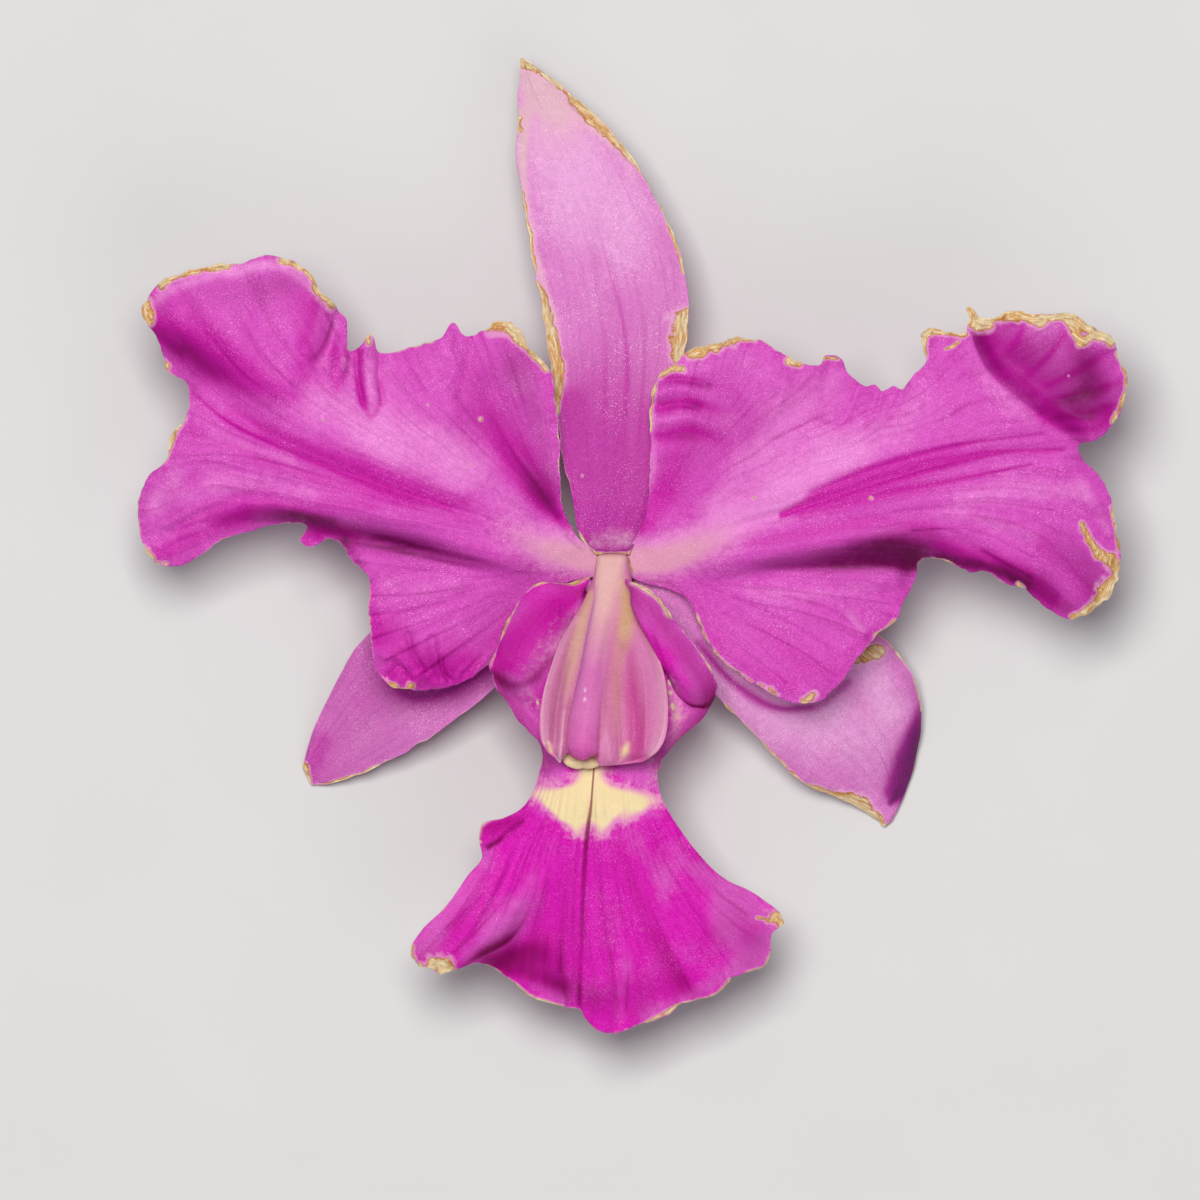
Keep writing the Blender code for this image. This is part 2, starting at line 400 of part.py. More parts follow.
def blade(name, p, thickness, floor=None, upright=1.0):
    """Closed leaf of even thickness round the sheet p, split alike on both faces. Where upright
    is 1 its faces stand above each other, so steep folds don't cross."""
    n = normals(p)
    t = np.broadcast_to(thickness, p.shape[:2])[..., None] / 2
    up = np.broadcast_to(upright, p.shape[:2])[..., None]
    n = n * (1 - up) + up * np.array([0, 0, 1.0]) / np.maximum(np.abs(n[..., 2:]), 0.5)
    front = p + n * t
    back = p - n * t
    if floor is not None:
        lift = np.maximum(floor - back[..., 2], 0)
        back[..., 2] += lift
        front[..., 2] = np.maximum(front[..., 2], back[..., 2] + 0.75)
    m = p.shape[1]
    tris = [tuple(i * m + j for i, j in t) for t in grid_triangles(p.shape[0], m)]
    leaf(name, ((front + back) / 2).reshape(-1, 3), ((front - back) / 2).reshape(-1, 3), tris)


def leaf(name, p, half, tris):
    """Closed leaf round the sheet p: both faces lie half its thickness to a side of it."""
    front = p + half
    back = p - half
    verts = np.empty((2 * len(p), 3))
    verts[0::2] = front
    verts[1::2] = back
    a, b, c = tris[0]
    flip = np.cross(front[b] - front[a], front[c] - front[a]) @ half[a] < 0
    faces = []
    edges = set()
    for a, b, c in tris:
        if flip:
            b, c = c, b
        faces.append((2 * a, 2 * b, 2 * c))
        faces.append((2 * a + 1, 2 * c + 1, 2 * b + 1))
        edges.update(((a, b), (b, c), (c, a)))
    for a, b in sorted(edges):
        if (b, a) not in edges:
            faces.append((2 * b, 2 * a, 2 * a + 1))
            faces.append((2 * b, 2 * a + 1, 2 * b + 1))
    build(name, verts, faces)


def build(name, verts, faces):
    v = np.array(verts, float)
    v[:, 0] += CENTRE[0]
    v[:, 1] += CENTRE[1]
    mesh = bpy.data.meshes.new(name)
    mesh.from_pydata((v * MM).tolist(), [], faces)
    mesh.validate()
    thing = bpy.data.objects.new(name, mesh)
    bpy.context.scene.collection.objects.link(thing)
    mat = bpy.data.materials.new(name + "_mat")
    mat.use_nodes = True
    shader = mat.node_tree.nodes["Principled BSDF"]
    shader.inputs["Base Color"].default_value = COLOURS[name] + (1.0,)
    shader.inputs["Roughness"].default_value = 0.5
    mesh.materials.append(mat)


def skin(name, rings, flat=False):
    """Closed body through rings of equal count; each end is a fan, or a strip between the two
    halves of its ring."""
    rings = np.asarray(rings)
    m, n = rings.shape[:2]
    verts = list(rings.reshape(-1, 3))
    faces = []
    for i in range(m - 1):
        for j in range(n):
            k = (j + 1) % n
            a, b, c, d = i * n + j, i * n + k, (i + 1) * n + k, (i + 1) * n + j
            faces += [(a, b, c), (a, c, d)]
    if flat:
        last = (m - 1) * n
        for j in range(n // 2 - 1):
            a, b, c, d = j, j + 1, n - 2 - j, n - 1 - j
            faces += [(c, b, a), (d, c, a)]
            faces += [(last + a, last + b, last + c), (last + a, last + c, last + d)]
    else:
        verts += [rings[0].mean(0), rings[-1].mean(0)]
        for j in range(n):
            k = (j + 1) % n
            faces.append((m * n, k, j))
            faces.append((m * n + 1, (m - 1) * n + j, (m - 1) * n + k))
    build(name, verts, faces)


def column_ring(i, n=14):
    """Section of the column: a rounded crest with a wing on each side, hollowed below."""
    y, left, crest, right, top, y_low, z_low = station(COLUMN, i)
    s = np.linspace(-1, 1, n)
    x = np.where(s < 0, crest + s * (crest - left), crest + s * (right - crest))
    reach = np.abs(x - crest)
    grown = smooth((i - 1) / 2)
    z = top - grown * (COLUMN_DROP * reach * smooth(reach / 2.5) + 0.5 * smooth(reach / 1.6))
    z -= 0.5 * np.abs(s) ** 6 * grown
    rim = z - COLUMN_RIM
    low = np.minimum(z_low + (rim - z_low) * s ** 4 * grown, rim * grown + z_low * (1 - grown))
    upper = np.stack([x, y - (1 - grown) * 0.5 * s ** 4, z], -1)
    lower = np.stack([x, y_low + (y - y_low) * s ** 4 * 0.6, low], -1)[::-1]
    return np.concatenate([upper, lower])[::-1]


def station(rows, i):
    return np.array([np.interp(i, range(len(rows)), [r[c] for r in rows]) for c in range(7)])


def stalk_rings(n=16):
    c = np.array(STALK)
    d = np.gradient(c[:, :3], axis=0)
    d /= np.linalg.norm(d, axis=1, keepdims=True)
    rings = []
    for point, axis in zip(c, d):
        a = np.array([1.0, 0.0, 0.0])
        b = np.cross(axis, a)
        b /= np.linalg.norm(b)
        a = np.cross(b, axis)
        t = np.arange(n) / n * 2 * np.pi
        ring = point[:3] + point[3] * (np.cos(t)[:, None] * a + np.sin(t)[:, None] * b)
        if abs(axis[2]) > 0.95:
            ring[:, 2] = point[2]
        ring[:, 2] = np.maximum(ring[:, 2], 0.0)
        rings.append(ring)
    return rings


for thing in list(bpy.data.objects):
    bpy.data.objects.remove(thing, do_unlink=True)

# Petals: one broad blade each, thicker at the claw.
petal("left_petal", LEFT_MARGIN, LEFT_HEIGHTS, LEFT_FOLDS, LEFT_RIDGES)
petal("right_petal", RIGHT_MARGIN, RIGHT_HEIGHTS, RIGHT_FOLDS, RIGHT_RIDGES)

# Sepals: narrow blades, hollowed a little along the middle.
for name, pairs, bow in (("dorsal_sepal", DORSAL, 0.035), ("left_lateral_sepal", LOWER_LEFT, 0.03),
                         ("right_lateral_sepal", LOWER_RIGHT, -0.06)):
    s, v = np.meshgrid(np.linspace(-1, 1, 9), np.linspace(0, len(pairs) - 1, 2 * len(pairs) - 1),
                       indexing="ij")
    sheet = sepal(s, v, pairs, bow)
    blade(name, sheet, SEPAL_THICKNESS, floor=0.0)

# Lip: tube and mid-lobe in one blade.
steps = np.linspace(0, 1, len(LOBE_END))
s, v = np.meshgrid(steps, np.linspace(0, 9, 19)[:-1], indexing="ij")
tube = lip_tube((s * 10).T, v.T).transpose(1, 0, 2)
s, r = np.meshgrid(steps, np.linspace(0, 1, 12), indexing="ij")
lobe = lip_lobe(s, r)
upright = np.concatenate([smooth((v - 6) / 1.5), 1 + 0 * r], axis=1)
blade("lip", np.concatenate([tube, lobe], axis=1), LIP_THICKNESS, upright=upright)

# Column: its foot and its winged length in one body.
skin("column", [column_ring(i) for i in np.linspace(0, len(COLUMN) - 1, 22)], flat=True)

# Anther cap: a small flattened bead.
rings = []
for a in np.linspace(-75, 75, 7) * np.pi / 180:
    t = np.arange(14) / 14 * 2 * np.pi
    rings.append(np.stack([ANTHER[0] + ANTHER[3] * np.cos(a) * np.cos(t),
                           ANTHER[1] + ANTHER[4] * np.cos(a) * np.sin(t),
                           ANTHER[2] + ANTHER[5] * np.sin(a) + 0 * t], -1))
skin("anther_cap", rings)

skin("flower_stalk", stalk_rings())
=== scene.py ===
"""A picked cattleya orchid, lying face up: two waved petals, three sepals, a trumpet lip, the column
with its anther cap, and the stalk. Outlines and heights are millimetres from the flower's centre,
x to the right, y to the upper sepal, z up from the surface."""

import bpy
import numpy as np
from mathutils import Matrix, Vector
from mathutils.geometry import delaunay_2d_cdt


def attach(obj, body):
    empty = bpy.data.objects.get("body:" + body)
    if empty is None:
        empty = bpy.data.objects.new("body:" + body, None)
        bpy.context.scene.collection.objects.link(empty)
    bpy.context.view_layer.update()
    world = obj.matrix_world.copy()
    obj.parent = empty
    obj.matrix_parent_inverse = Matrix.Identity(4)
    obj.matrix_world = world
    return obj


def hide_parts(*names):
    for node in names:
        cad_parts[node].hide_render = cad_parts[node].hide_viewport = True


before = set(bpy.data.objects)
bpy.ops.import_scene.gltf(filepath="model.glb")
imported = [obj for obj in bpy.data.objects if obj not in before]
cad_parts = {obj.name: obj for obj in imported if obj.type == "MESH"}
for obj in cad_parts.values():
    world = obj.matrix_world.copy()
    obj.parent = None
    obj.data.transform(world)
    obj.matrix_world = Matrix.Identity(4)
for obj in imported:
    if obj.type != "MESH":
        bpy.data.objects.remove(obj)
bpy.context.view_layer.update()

# Studio: the flower lies on a wide pale matt table under one large soft light from the upper
# sepal's side, with a weak fill from the lip's side. The camera looks straight down.
MM = 0.001
FLOWER_CENTRE = (-2.05, -0.6)        # the flower's own centre in the frame, mm
VIEW_CENTRE = (-1.2, -4.8)           # middle of the picture, mm from the flower's centre
VIEW_WIDTH = 120.0                   # mm across the picture
VIEW_HEIGHT = 3.0                    # camera above the petals, metres
PETAL_LEVEL = 0.018                  # the petals' height above the surface, metres
SENSOR = 36.0
TABLE_RADIUS = 3.0
TABLE_GREY = (0.62, 0.615, 0.61)
TABLE_PALE = (0.65, 0.645, 0.64)
SKY = (0.93, 0.94, 1.0, 1.0)
SKY_STRENGTH = 0.225
LAMPS = (                            # name, place in metres, size, watts, colour
    ("window", (-0.07, 0.16, 0.98), 0.34, 8.9, (1.0, 0.985, 0.96)),
    ("fill", (0.40, -0.60, 0.85), 0.8, 1.8, (0.97, 0.98, 1.0)))


class Socket:
    """A node's output, or a number, with arithmetic that adds Math nodes."""

    def __init__(self, tree, link):
        self.tree = tree
        self.link = link

    def maths(self, operation, *others):
        return self.tree.node("ShaderNodeMath", {"operation": operation},
                              dict(enumerate((self,) + others)))

    def __add__(self, other):
        return self.maths("ADD", other)

    def __sub__(self, other):
        return self.maths("SUBTRACT", other)

    def __mul__(self, other):
        return self.maths("MULTIPLY", other)

    def __rsub__(self, other):
        return self.tree.node("ShaderNodeMath", {"operation": "SUBTRACT"}, {0: other, 1: self})

    __radd__ = __add__
    __rmul__ = __mul__

    def band(self, low, high):
        """0 below low, 1 above high, eased between."""
        return self.tree.node("ShaderNodeMapRange", {"interpolation_type": "SMOOTHSTEP"},
                              {"Value": self, "From Min": low, "From Max": high})


class Finish:
    """A material's node tree."""

    def __init__(self, name):
        self.material = bpy.data.materials.new(name)
        self.material.use_nodes = True
        self.nodes = self.material.node_tree.nodes
        self.links = self.material.node_tree.links
        self.shader = self.nodes["Principled BSDF"]

    def put(self, value, target):
        """Links a socket's output to the input, or sets the input to a plain value."""
        if isinstance(value, Socket):
            self.links.new(value.link, target)
        else:
            target.default_value = value

    def node(self, kind, settings, inputs, output=0):
        """Adds a node: its settings first, then a value or a link for each socket."""
        n = self.nodes.new(kind)
        for key, value in settings.items():
            setattr(n, key, value)
        for key, value in inputs.items():
            self.put(value, n.inputs[key])
        return Socket(self, n.outputs[output])

    def attribute(self, name, output="Fac"):
        return self.node("ShaderNodeAttribute", {"attribute_name": name}, {}, output)

    def parts(self, vector):
        """The three numbers of a vector."""
        first = self.node("ShaderNodeSeparateXYZ", {}, {0: vector})
        n = first.link.node
        return [Socket(self, n.outputs[i]) for i in range(3)]

    def mix(self, share, a, b):
        """Colour a turned to colour b by share."""
        a, b = (c if isinstance(c, Socket) else tuple(c) + (1.0,) for c in (a, b))
        return self.node("ShaderNodeMix", {"data_type": "RGBA"}, {0: share, 6: a, 7: b}, 2)

    def noise(self, vector, scale, detail=2.0, roughness=0.5):
        return self.node("ShaderNodeTexNoise", {}, {"Vector": vector, "Scale": scale,
                                                    "Detail": detail, "Roughness": roughness})

    def joined(self, x, y, z):
        return self.node("ShaderNodeCombineXYZ", {}, {0: x, 1: y, 2: z})

    def place(self):
        return self.node("ShaderNodeTexCoord", {}, {}, "Object")

    def feed(self, **sockets):
        """Links or values for the shader's sockets; an underscore stands for a space."""
        for key, value in sockets.items():
            self.put(value, self.shader.inputs[key.replace("_", " ")])

    def bump(self, height, strength, distance):
        return self.node("ShaderNodeBump", {}, {"Strength": strength, "Distance": distance,
                                                "Height": height})


table = Finish("pale_table")
table.feed(Base_Color=table.mix(table.noise(table.place(), 60.0), TABLE_GREY, TABLE_PALE), Roughness=0.75)
bpy.ops.mesh.primitive_circle_add(vertices=96, radius=TABLE_RADIUS, fill_type="NGON",
                                  location=(0, 0, -0.0001))
floor = bpy.context.object
floor.name = "studio_table"
floor.data.materials.append(table.material)

world = bpy.data.worlds.new("studio")
world.use_nodes = True
world.node_tree.nodes["Background"].inputs["Color"].default_value = SKY
world.node_tree.nodes["Background"].inputs["Strength"].default_value = SKY_STRENGTH
bpy.context.scene.world = world

for name, place, size, watts, colour in LAMPS:
    light = bpy.data.lights.new(name, "AREA")
    light.size = size
    light.energy = watts
    light.color = colour
    lamp = bpy.data.objects.new(name, light)
    lamp.location = place
    lamp.rotation_euler = (-Vector(place)).to_track_quat("-Z", "Y").to_euler()
    bpy.context.scene.collection.objects.link(lamp)

lens = bpy.data.cameras.new("camera")
lens.sensor_width = SENSOR
lens.lens = SENSOR * VIEW_HEIGHT / (VIEW_WIDTH * MM)
lens.clip_end = 20.0
camera = bpy.data.objects.new("camera", lens)
camera.location = ((VIEW_CENTRE[0] + FLOWER_CENTRE[0]) * MM, (VIEW_CENTRE[1] + FLOWER_CENTRE[1]) * MM,
                   PETAL_LEVEL + VIEW_HEIGHT)
bpy.context.scene.collection.objects.link(camera)
bpy.context.scene.camera = camera
bpy.context.scene.view_settings.view_transform = "Standard"

# Petals: the two broad side petals, thin waxy tissue ruffled along its free edge, with a groove
# down the middle, fan-like veins and a margin that has dried cream and brown. Each grows from a
# narrow pale claw at the centre and bends over at its outer end.
LEFT_MARGIN = [
    (-1.44, -0.1), (-3.5, 1.6), (-4.9, 4.2), (-5.2, 8.0), (-5.3, 11.5), (-5.7, 15.0), (-6.3, 18.2),
    (-8.2, 20.5), (-9.7, 22.6), (-11.7, 22.9), (-14.3, 21.5), (-15.9, 22.9), (-17.0, 21.4),
    (-20.0, 20.5), (-23.2, 20.0), (-23.8, 21.4), (-24.5, 21.8), (-25.0, 20.8), (-26.3, 20.2),
    (-26.5, 23.0), (-27.5, 24.2), (-28.2, 25.3), (-29.4, 26.4), (-29.9, 27.6), (-31.5, 28.8),
    (-34.1, 29.6), (-37.0, 28.9), (-40.5, 28.4), (-43.5, 27.8), (-45.4, 26.6), (-46.7, 24.9),
    (-46.6, 23.3), (-45.6, 21.5), (-44.9, 19.4), (-44.6, 18.3), (-42.8, 17.1), (-42.2, 15.0),
    (-42.8, 13.3), (-43.9, 11.6), (-44.8, 9.2), (-46.3, 7.6), (-47.3, 5.2), (-47.4, 2.6),
    (-46.8, 0.2), (-45.6, -1.2), (-43.2, -1.3), (-40.8, -0.1), (-38.8, 1.3), (-36.0, 2.2),
    (-33.2, 2.8), (-30.4, 2.6), (-31.2, 1.2), (-30.4, 0.5), (-28.1, 1.4), (-27.0, 0.7),
    (-26.0, -0.8), (-24.4, -2.6), (-24.4, -6.0), (-24.1, -9.0), (-23.6, -11.8), (-22.0, -13.4),
    (-20.0, -13.8), (-17.6, -13.8), (-15.0, -13.1), (-12.2, -11.2), (-9.5, -8.0), (-6.6, -4.6),
    (-4.2, -3.0), (-1.75, -2.5)]
RIGHT_MARGIN = [
    (1.48, -0.1), (2.9, 2.6), (3.7, 5.6), (3.85, 9.0), (3.85, 12.0), (3.7, 14.2), (4.1, 16.3),
    (5.0, 18.0), (6.1, 18.6), (7.6, 20.1), (9.8, 20.7), (12.0, 21.3), (14.6, 21.3), (16.4, 20.2),
    (18.0, 19.3), (19.6, 18.7), (20.8, 18.6), (21.3, 19.5), (22.8, 19.4), (23.6, 18.0),
    (25.3, 16.6), (26.3, 16.7), (27.0, 16.0), (28.1, 16.6), (28.9, 16.2), (29.7, 17.2),
    (31.2, 19.0), (31.0, 21.9), (33.2, 22.2), (35.4, 21.9), (35.6, 24.4), (37.2, 23.3),
    (39.9, 24.1), (42.5, 23.6), (44.8, 23.9), (46.5, 23.5), (48.1, 22.6), (50.0, 21.4),
    (50.7, 19.4), (51.5, 17.6), (51.3, 15.4), (50.2, 12.9), (48.4, 11.3), (46.6, 10.6),
    (47.2, 9.1), (48.6, 7.8), (49.8, 5.5), (50.3, 3.0), (50.9, 0.6), (50.7, -2.0), (49.8, -4.6),
    (48.0, -5.9), (46.1, -6.8), (44.2, -6.1), (42.4, -4.7), (41.0, -3.6), (39.3, -3.2),
    (37.4, -1.9), (35.6, -2.0), (33.2, -0.8), (30.8, -0.8), (30.4, -2.6), (29.2, -4.9),
    (28.4, -6.8), (26.6, -8.3), (24.8, -10.4), (23.0, -12.9), (21.2, -14.6), (19.0, -15.1),
    (16.6, -14.5), (14.0, -13.0), (11.4, -11.3), (9.6, -9.0), (8.4, -6.3), (7.2, -4.4),
    (5.2, -3.6), (3.5, -3.2), (1.72, -2.5)]
# Heights at given spots: x, y and z.
LEFT_HEIGHTS = [
    (-2.2, -0.9, 15.0), (-5, 1.0, 15.9), (-10, 3.2, 17.4), (-15, 5.8, 18.7), (-20, 9.3, 19.6),
    (-26, 12.8, 20.2), (-31, 15, 20.6), (-6.3, 4.6, 15.5), (-10, 10, 16.2), (-12, 15, 17.2),
    (-5.2, 8, 16.9), (-5.5, 13, 17.6), (-7.5, 19, 17.9), (-10.5, 22.5, 18.0), (-9, 15.5, 18.0),
    (-16, 22, 18.6), (-16.5, 14, 18.8), (-22, 20, 19.4), (-16, 2.3, 18.3), (-25, 5.5, 19.4),
    (-33, 8.5, 19.7), (-10, -0.4, 17.3), (-20, 2.6, 18.9), (-28, 4.6, 19.2), (-36, 5.2, 18.6),
    (-8, -3.6, 14.6), (-14, -4.5, 15.6), (-19.5, -2.5, 16.0), (-20, -8, 16.8), (-16, -11, 16.3),
    (-22.5, -11.5, 15.4), (-19, -13.5, 15.0), (-27, 0.5, 16.6), (-37, 24, 20.6), (-33, 28, 20.4),
    (-44.5, 25, 19.4), (-30, 22, 20.2), (-42.3, 15.5, 17.8), (-40, 10.5, 19.0), (-43, 5, 17.6),
    (-47, 3, 15.4), (-44.5, -0.8, 15.2), (-39, 1.8, 16.6), (-33, 3, 17.0)]
RIGHT_HEIGHTS = [
    (2.4, -0.9, 15.0), (6, 0.7, 16.0), (11, 2.4, 17.7), (17, 4.8, 19.4), (24, 8.4, 20.8),
    (31, 11.2, 21.6), (38, 12, 21.8), (44, 11.2, 21.2), (3.3, 3.2, 15.9), (6.2, 5.2, 15.8),
    (3.9, 9, 17.2), (8.5, 10, 16.8), (3.9, 14, 17.8), (6, 18, 18.0), (9, 20.3, 18.2),
    (14, 21, 18.6), (12, 14.5, 17.8), (20, 18.5, 19.4), (22, 14.5, 20.0), (28, 16, 21.0),
    (33, 21, 21.8), (36, 16, 21.6), (43, 20, 22.0), (48.5, 21.5, 21.0), (51, 17, 19.4),
    (47, 14, 20.4), (18, 2.2, 19.0), (26, 4.6, 20.6), (33, 6, 21.4), (40, 5, 21.4),
    (46, 3, 20.0), (50.5, 1, 17.8), (47, -5.5, 17.4), (42, -2.4, 19.4), (10, -0.9, 17.3),
    (18, 0.8, 19.0), (26, 1.8, 20.2), (33, 1.4, 20.4), (39, -1, 19.8), (9, -4.8, 15.0),
    (14, -6, 16.0), (20, -7, 16.4), (26, -4, 16.2), (23, -11, 15.8), (19, -14.6, 15.2),
    (12, -11, 15.6), (29, -4, 15.8)]
# Folds: a line, how far its left side stands above its right side, the fold's width and, unless it
# is END_FADE, the share of the line over which the fold grows at each end.
LEFT_FOLDS = [
    ([(-5, -1.6), (-12, -1.1), (-20, 1.6), (-28, 3.2), (-35, 3.6), (-41, 1.2)], -1.0, 1.3, 0.45),
    ([(-47, 22.4), (-42, 19.8), (-37, 16.8), (-31.5, 13.8)], 1.0, 2.6),
    ([(-27.7, 25.6), (-28.3, 22.6), (-29.3, 20.2), (-31.0, 18.6)], -0.65, 1.0)]
RIGHT_FOLDS = [
    ([(5, -2.4), (11, -1.9), (18, -0.6), (26, 0.2), (32, -0.2), (38, -2.8)], 1.1, 1.2, 0.45),
    ([(36.3, 25.2), (36.9, 21.8), (38.0, 19.1), (40.3, 16.7), (43.8, 14.0), (48.1, 10.9)], -0.5, 1.3)]
# Ridges (positive) and grooves: a line, the width and the height.
LEFT_RIDGES = [
    ([(-6, 0.6), (-16, 4.4), (-26, 8.0), (-35, 12.0), (-41, 16.2)], 1.0, -0.7),
    ([(-26.9, 24.6), (-27.1, 20.5), (-27.7, 15.8)], 0.7, 0.55, 0.3),
    ([(-24.5, 22.6), (-24.4, 18.6), (-23.9, 13.6)], 0.75, 0.5, 0.35)]
RIGHT_RIDGES = [
    ([(9, 1.0), (17, 4.0), (27, 7.4), (36, 9.7), (46, 10.3)], 1.0, -0.7),
    ([(22.2, 20.2), (22.0, 16.0), (21.4, 12.5)], 1.3, 0.6),
    ([(38.4, 24), (39.4, 20.8), (41.4, 18.2), (44.6, 15.6), (48.6, 12.6)], 3.2, -0.8, 0.3)]
# Smaller creases and puckers, pressed in over the main form: a line, the width and the height.
LEFT_CREASES = [
    ([(-42, 16.3), (-38, 12.9), (-32, 10.1), (-24, 6.9), (-16, 4.4)], 0.35, -0.20),
    ([(-4, 2.5), (-6, 6), (-8.5, 9), (-11.5, 13.5)], 0.9, -0.35),
    ([(-13.8, 21), (-14.6, 18.5), (-15.2, 15.5)], 0.7, -0.30),
    ([(-23.2, 20), (-23.3, 17.5), (-22.9, 15)], 0.35, -0.35),
    ([(-25.4, 20.6), (-25.4, 18), (-24.9, 15)], 0.4, -0.40),
    ([(-34, 27), (-35.6, 22), (-37, 18)], 0.9, -0.20),
    ([(-43, 24.8), (-40.5, 21.5), (-38, 19)], 0.8, -0.25),
    ([(-46, 5), (-41, 7.6), (-36, 8.4)], 0.8, -0.22), ([(-45, 1.4), (-40, 4.6), (-35, 6)], 0.7, -0.25),
    ([(-44.6, 2.8), (-41.5, 4.4), (-38.6, 5.4)], 0.4, 0.16),
    ([(-23.8, -6.5), (-20, -5.4), (-15, -4.6)], 0.5, -0.18),
    ([(-23.6, -9.3), (-20.5, -8.6), (-16, -7.2)], 0.6, -0.22),
    ([(-20.4, -8.2), (-19.9, -10), (-18.9, -11.6)], 0.45, -0.55),
    ([(-18.0, -8.8), (-17.8, -10.2), (-17.2, -11.8)], 0.4, 0.35),
    ([(-17.2, -10.6), (-17.0, -11.8), (-16.1, -12.9)], 0.35, -0.5),
    ([(-22.8, -10.4), (-21.4, -10.4), (-20.6, -11.4)], 0.35, 0.35),
    ([(-22.4, -12.4), (-21.2, -11.4), (-20.2, -12.6)], 0.35, -0.5),
    ([(-19.8, -13.4), (-19.2, -12.4), (-18.4, -12.2)], 0.3, 0.35),
    ([(-18.6, -12.6), (-17.8, -13.2), (-16.4, -13.1)], 0.3, 0.3),
    ([(-15.8, -13.0), (-15.0, -11.8), (-14.2, -11.2)], 0.3, 0.3),
    ([(-15, -12.2), (-13.9, -11.2), (-12.9, -10.6)], 0.4, -0.45),
    ([(-13.4, -11.6), (-12.6, -10.6), (-11.4, -9.6)], 0.3, 0.3)]
RIGHT_CREASES = [
    ([(17, 3.8), (24, 6.1), (31, 8.2), (38, 9.9), (45, 10.2)], 0.3, -0.18),
    ([(20, 6.0), (26, 8.4), (34, 10.6), (43, 11.8)], 0.35, -0.18),
    ([(27, 5.8), (33, 6.9), (42, 8.8)], 0.35, -0.16),
    ([(4.2, 15.8), (7, 16.3), (10.2, 15.4)], 0.5, (0.4, 0.35, 0.05)),
    ([(4.4, 17.2), (7.2, 17.3), (10, 16.7)], 0.45, (-0.3, -0.35, -0.05)),
    ([(4.0, 14.4), (7, 14.9), (11, 13.8)], 0.55, (-0.35, -0.35, -0.05)),
    ([(4.0, 12.9), (7.5, 13.4), (11.6, 12.2)], 0.5, (0.3, 0.3, 0.05)),
    ([(4.0, 11.4), (7.6, 12.0), (11.6, 10.6)], 0.6, (-0.25, -0.25, -0.05)),
    ([(4.0, 9.6), (6.6, 10.0), (9, 9.4)], 0.6, (0.2, 0.15, 0)),
    ([(9, 18.6), (12, 17.4), (14, 14.4)], 0.9, 0.15),
    ([(17.4, 19.4), (17, 16), (15.6, 12.5)], 0.7, -0.25),
    ([(24.8, 16.8), (24, 14.5), (22.6, 12.4)], 0.4, -0.25),
    ([(27, 16), (26.6, 14.2), (25.4, 12.6)], 0.35, -0.25),
    ([(29.2, 17), (28.6, 14.8), (27.4, 13.2)], 0.4, -0.25),
    ([(37, 21.5), (39.5, 17.5), (43, 14.2)], 0.6, -0.12),
    ([(49.5, 13.8), (46.6, 13.7), (43.6, 14.2)], 0.7, -0.2),
    ([(49.6, 16.6), (46, 15.6), (42.6, 15.0)], 0.6, -0.14),
    ([(44.6, 22.6), (44, 19.6), (42, 16.8)], 1.0, -0.2),
    ([(49.6, 4.6), (44, 7.2), (37, 7.8)], 0.45, -0.18), ([(49.4, 2), (44, 4.4), (38, 5.4)], 0.5, -0.2),
    ([(45, -4), (42, 0.4), (37, 3)], 0.7, -0.25), ([(40.2, -3), (38, -0.6), (34.6, 1.4)], 0.5, -0.25),
    ([(27.5, -4), (22, -3.4), (15, -3.0)], 0.6, -0.2), ([(25, -8), (21, -5.6), (15, -4)], 0.4, -0.16),
    ([(25.2, -8.2), (23.6, -6.2), (22.6, -4.4)], 0.5, 0.3),
    ([(22.6, -10.6), (19, -8), (14, -5.4)], 0.4, -0.16)]
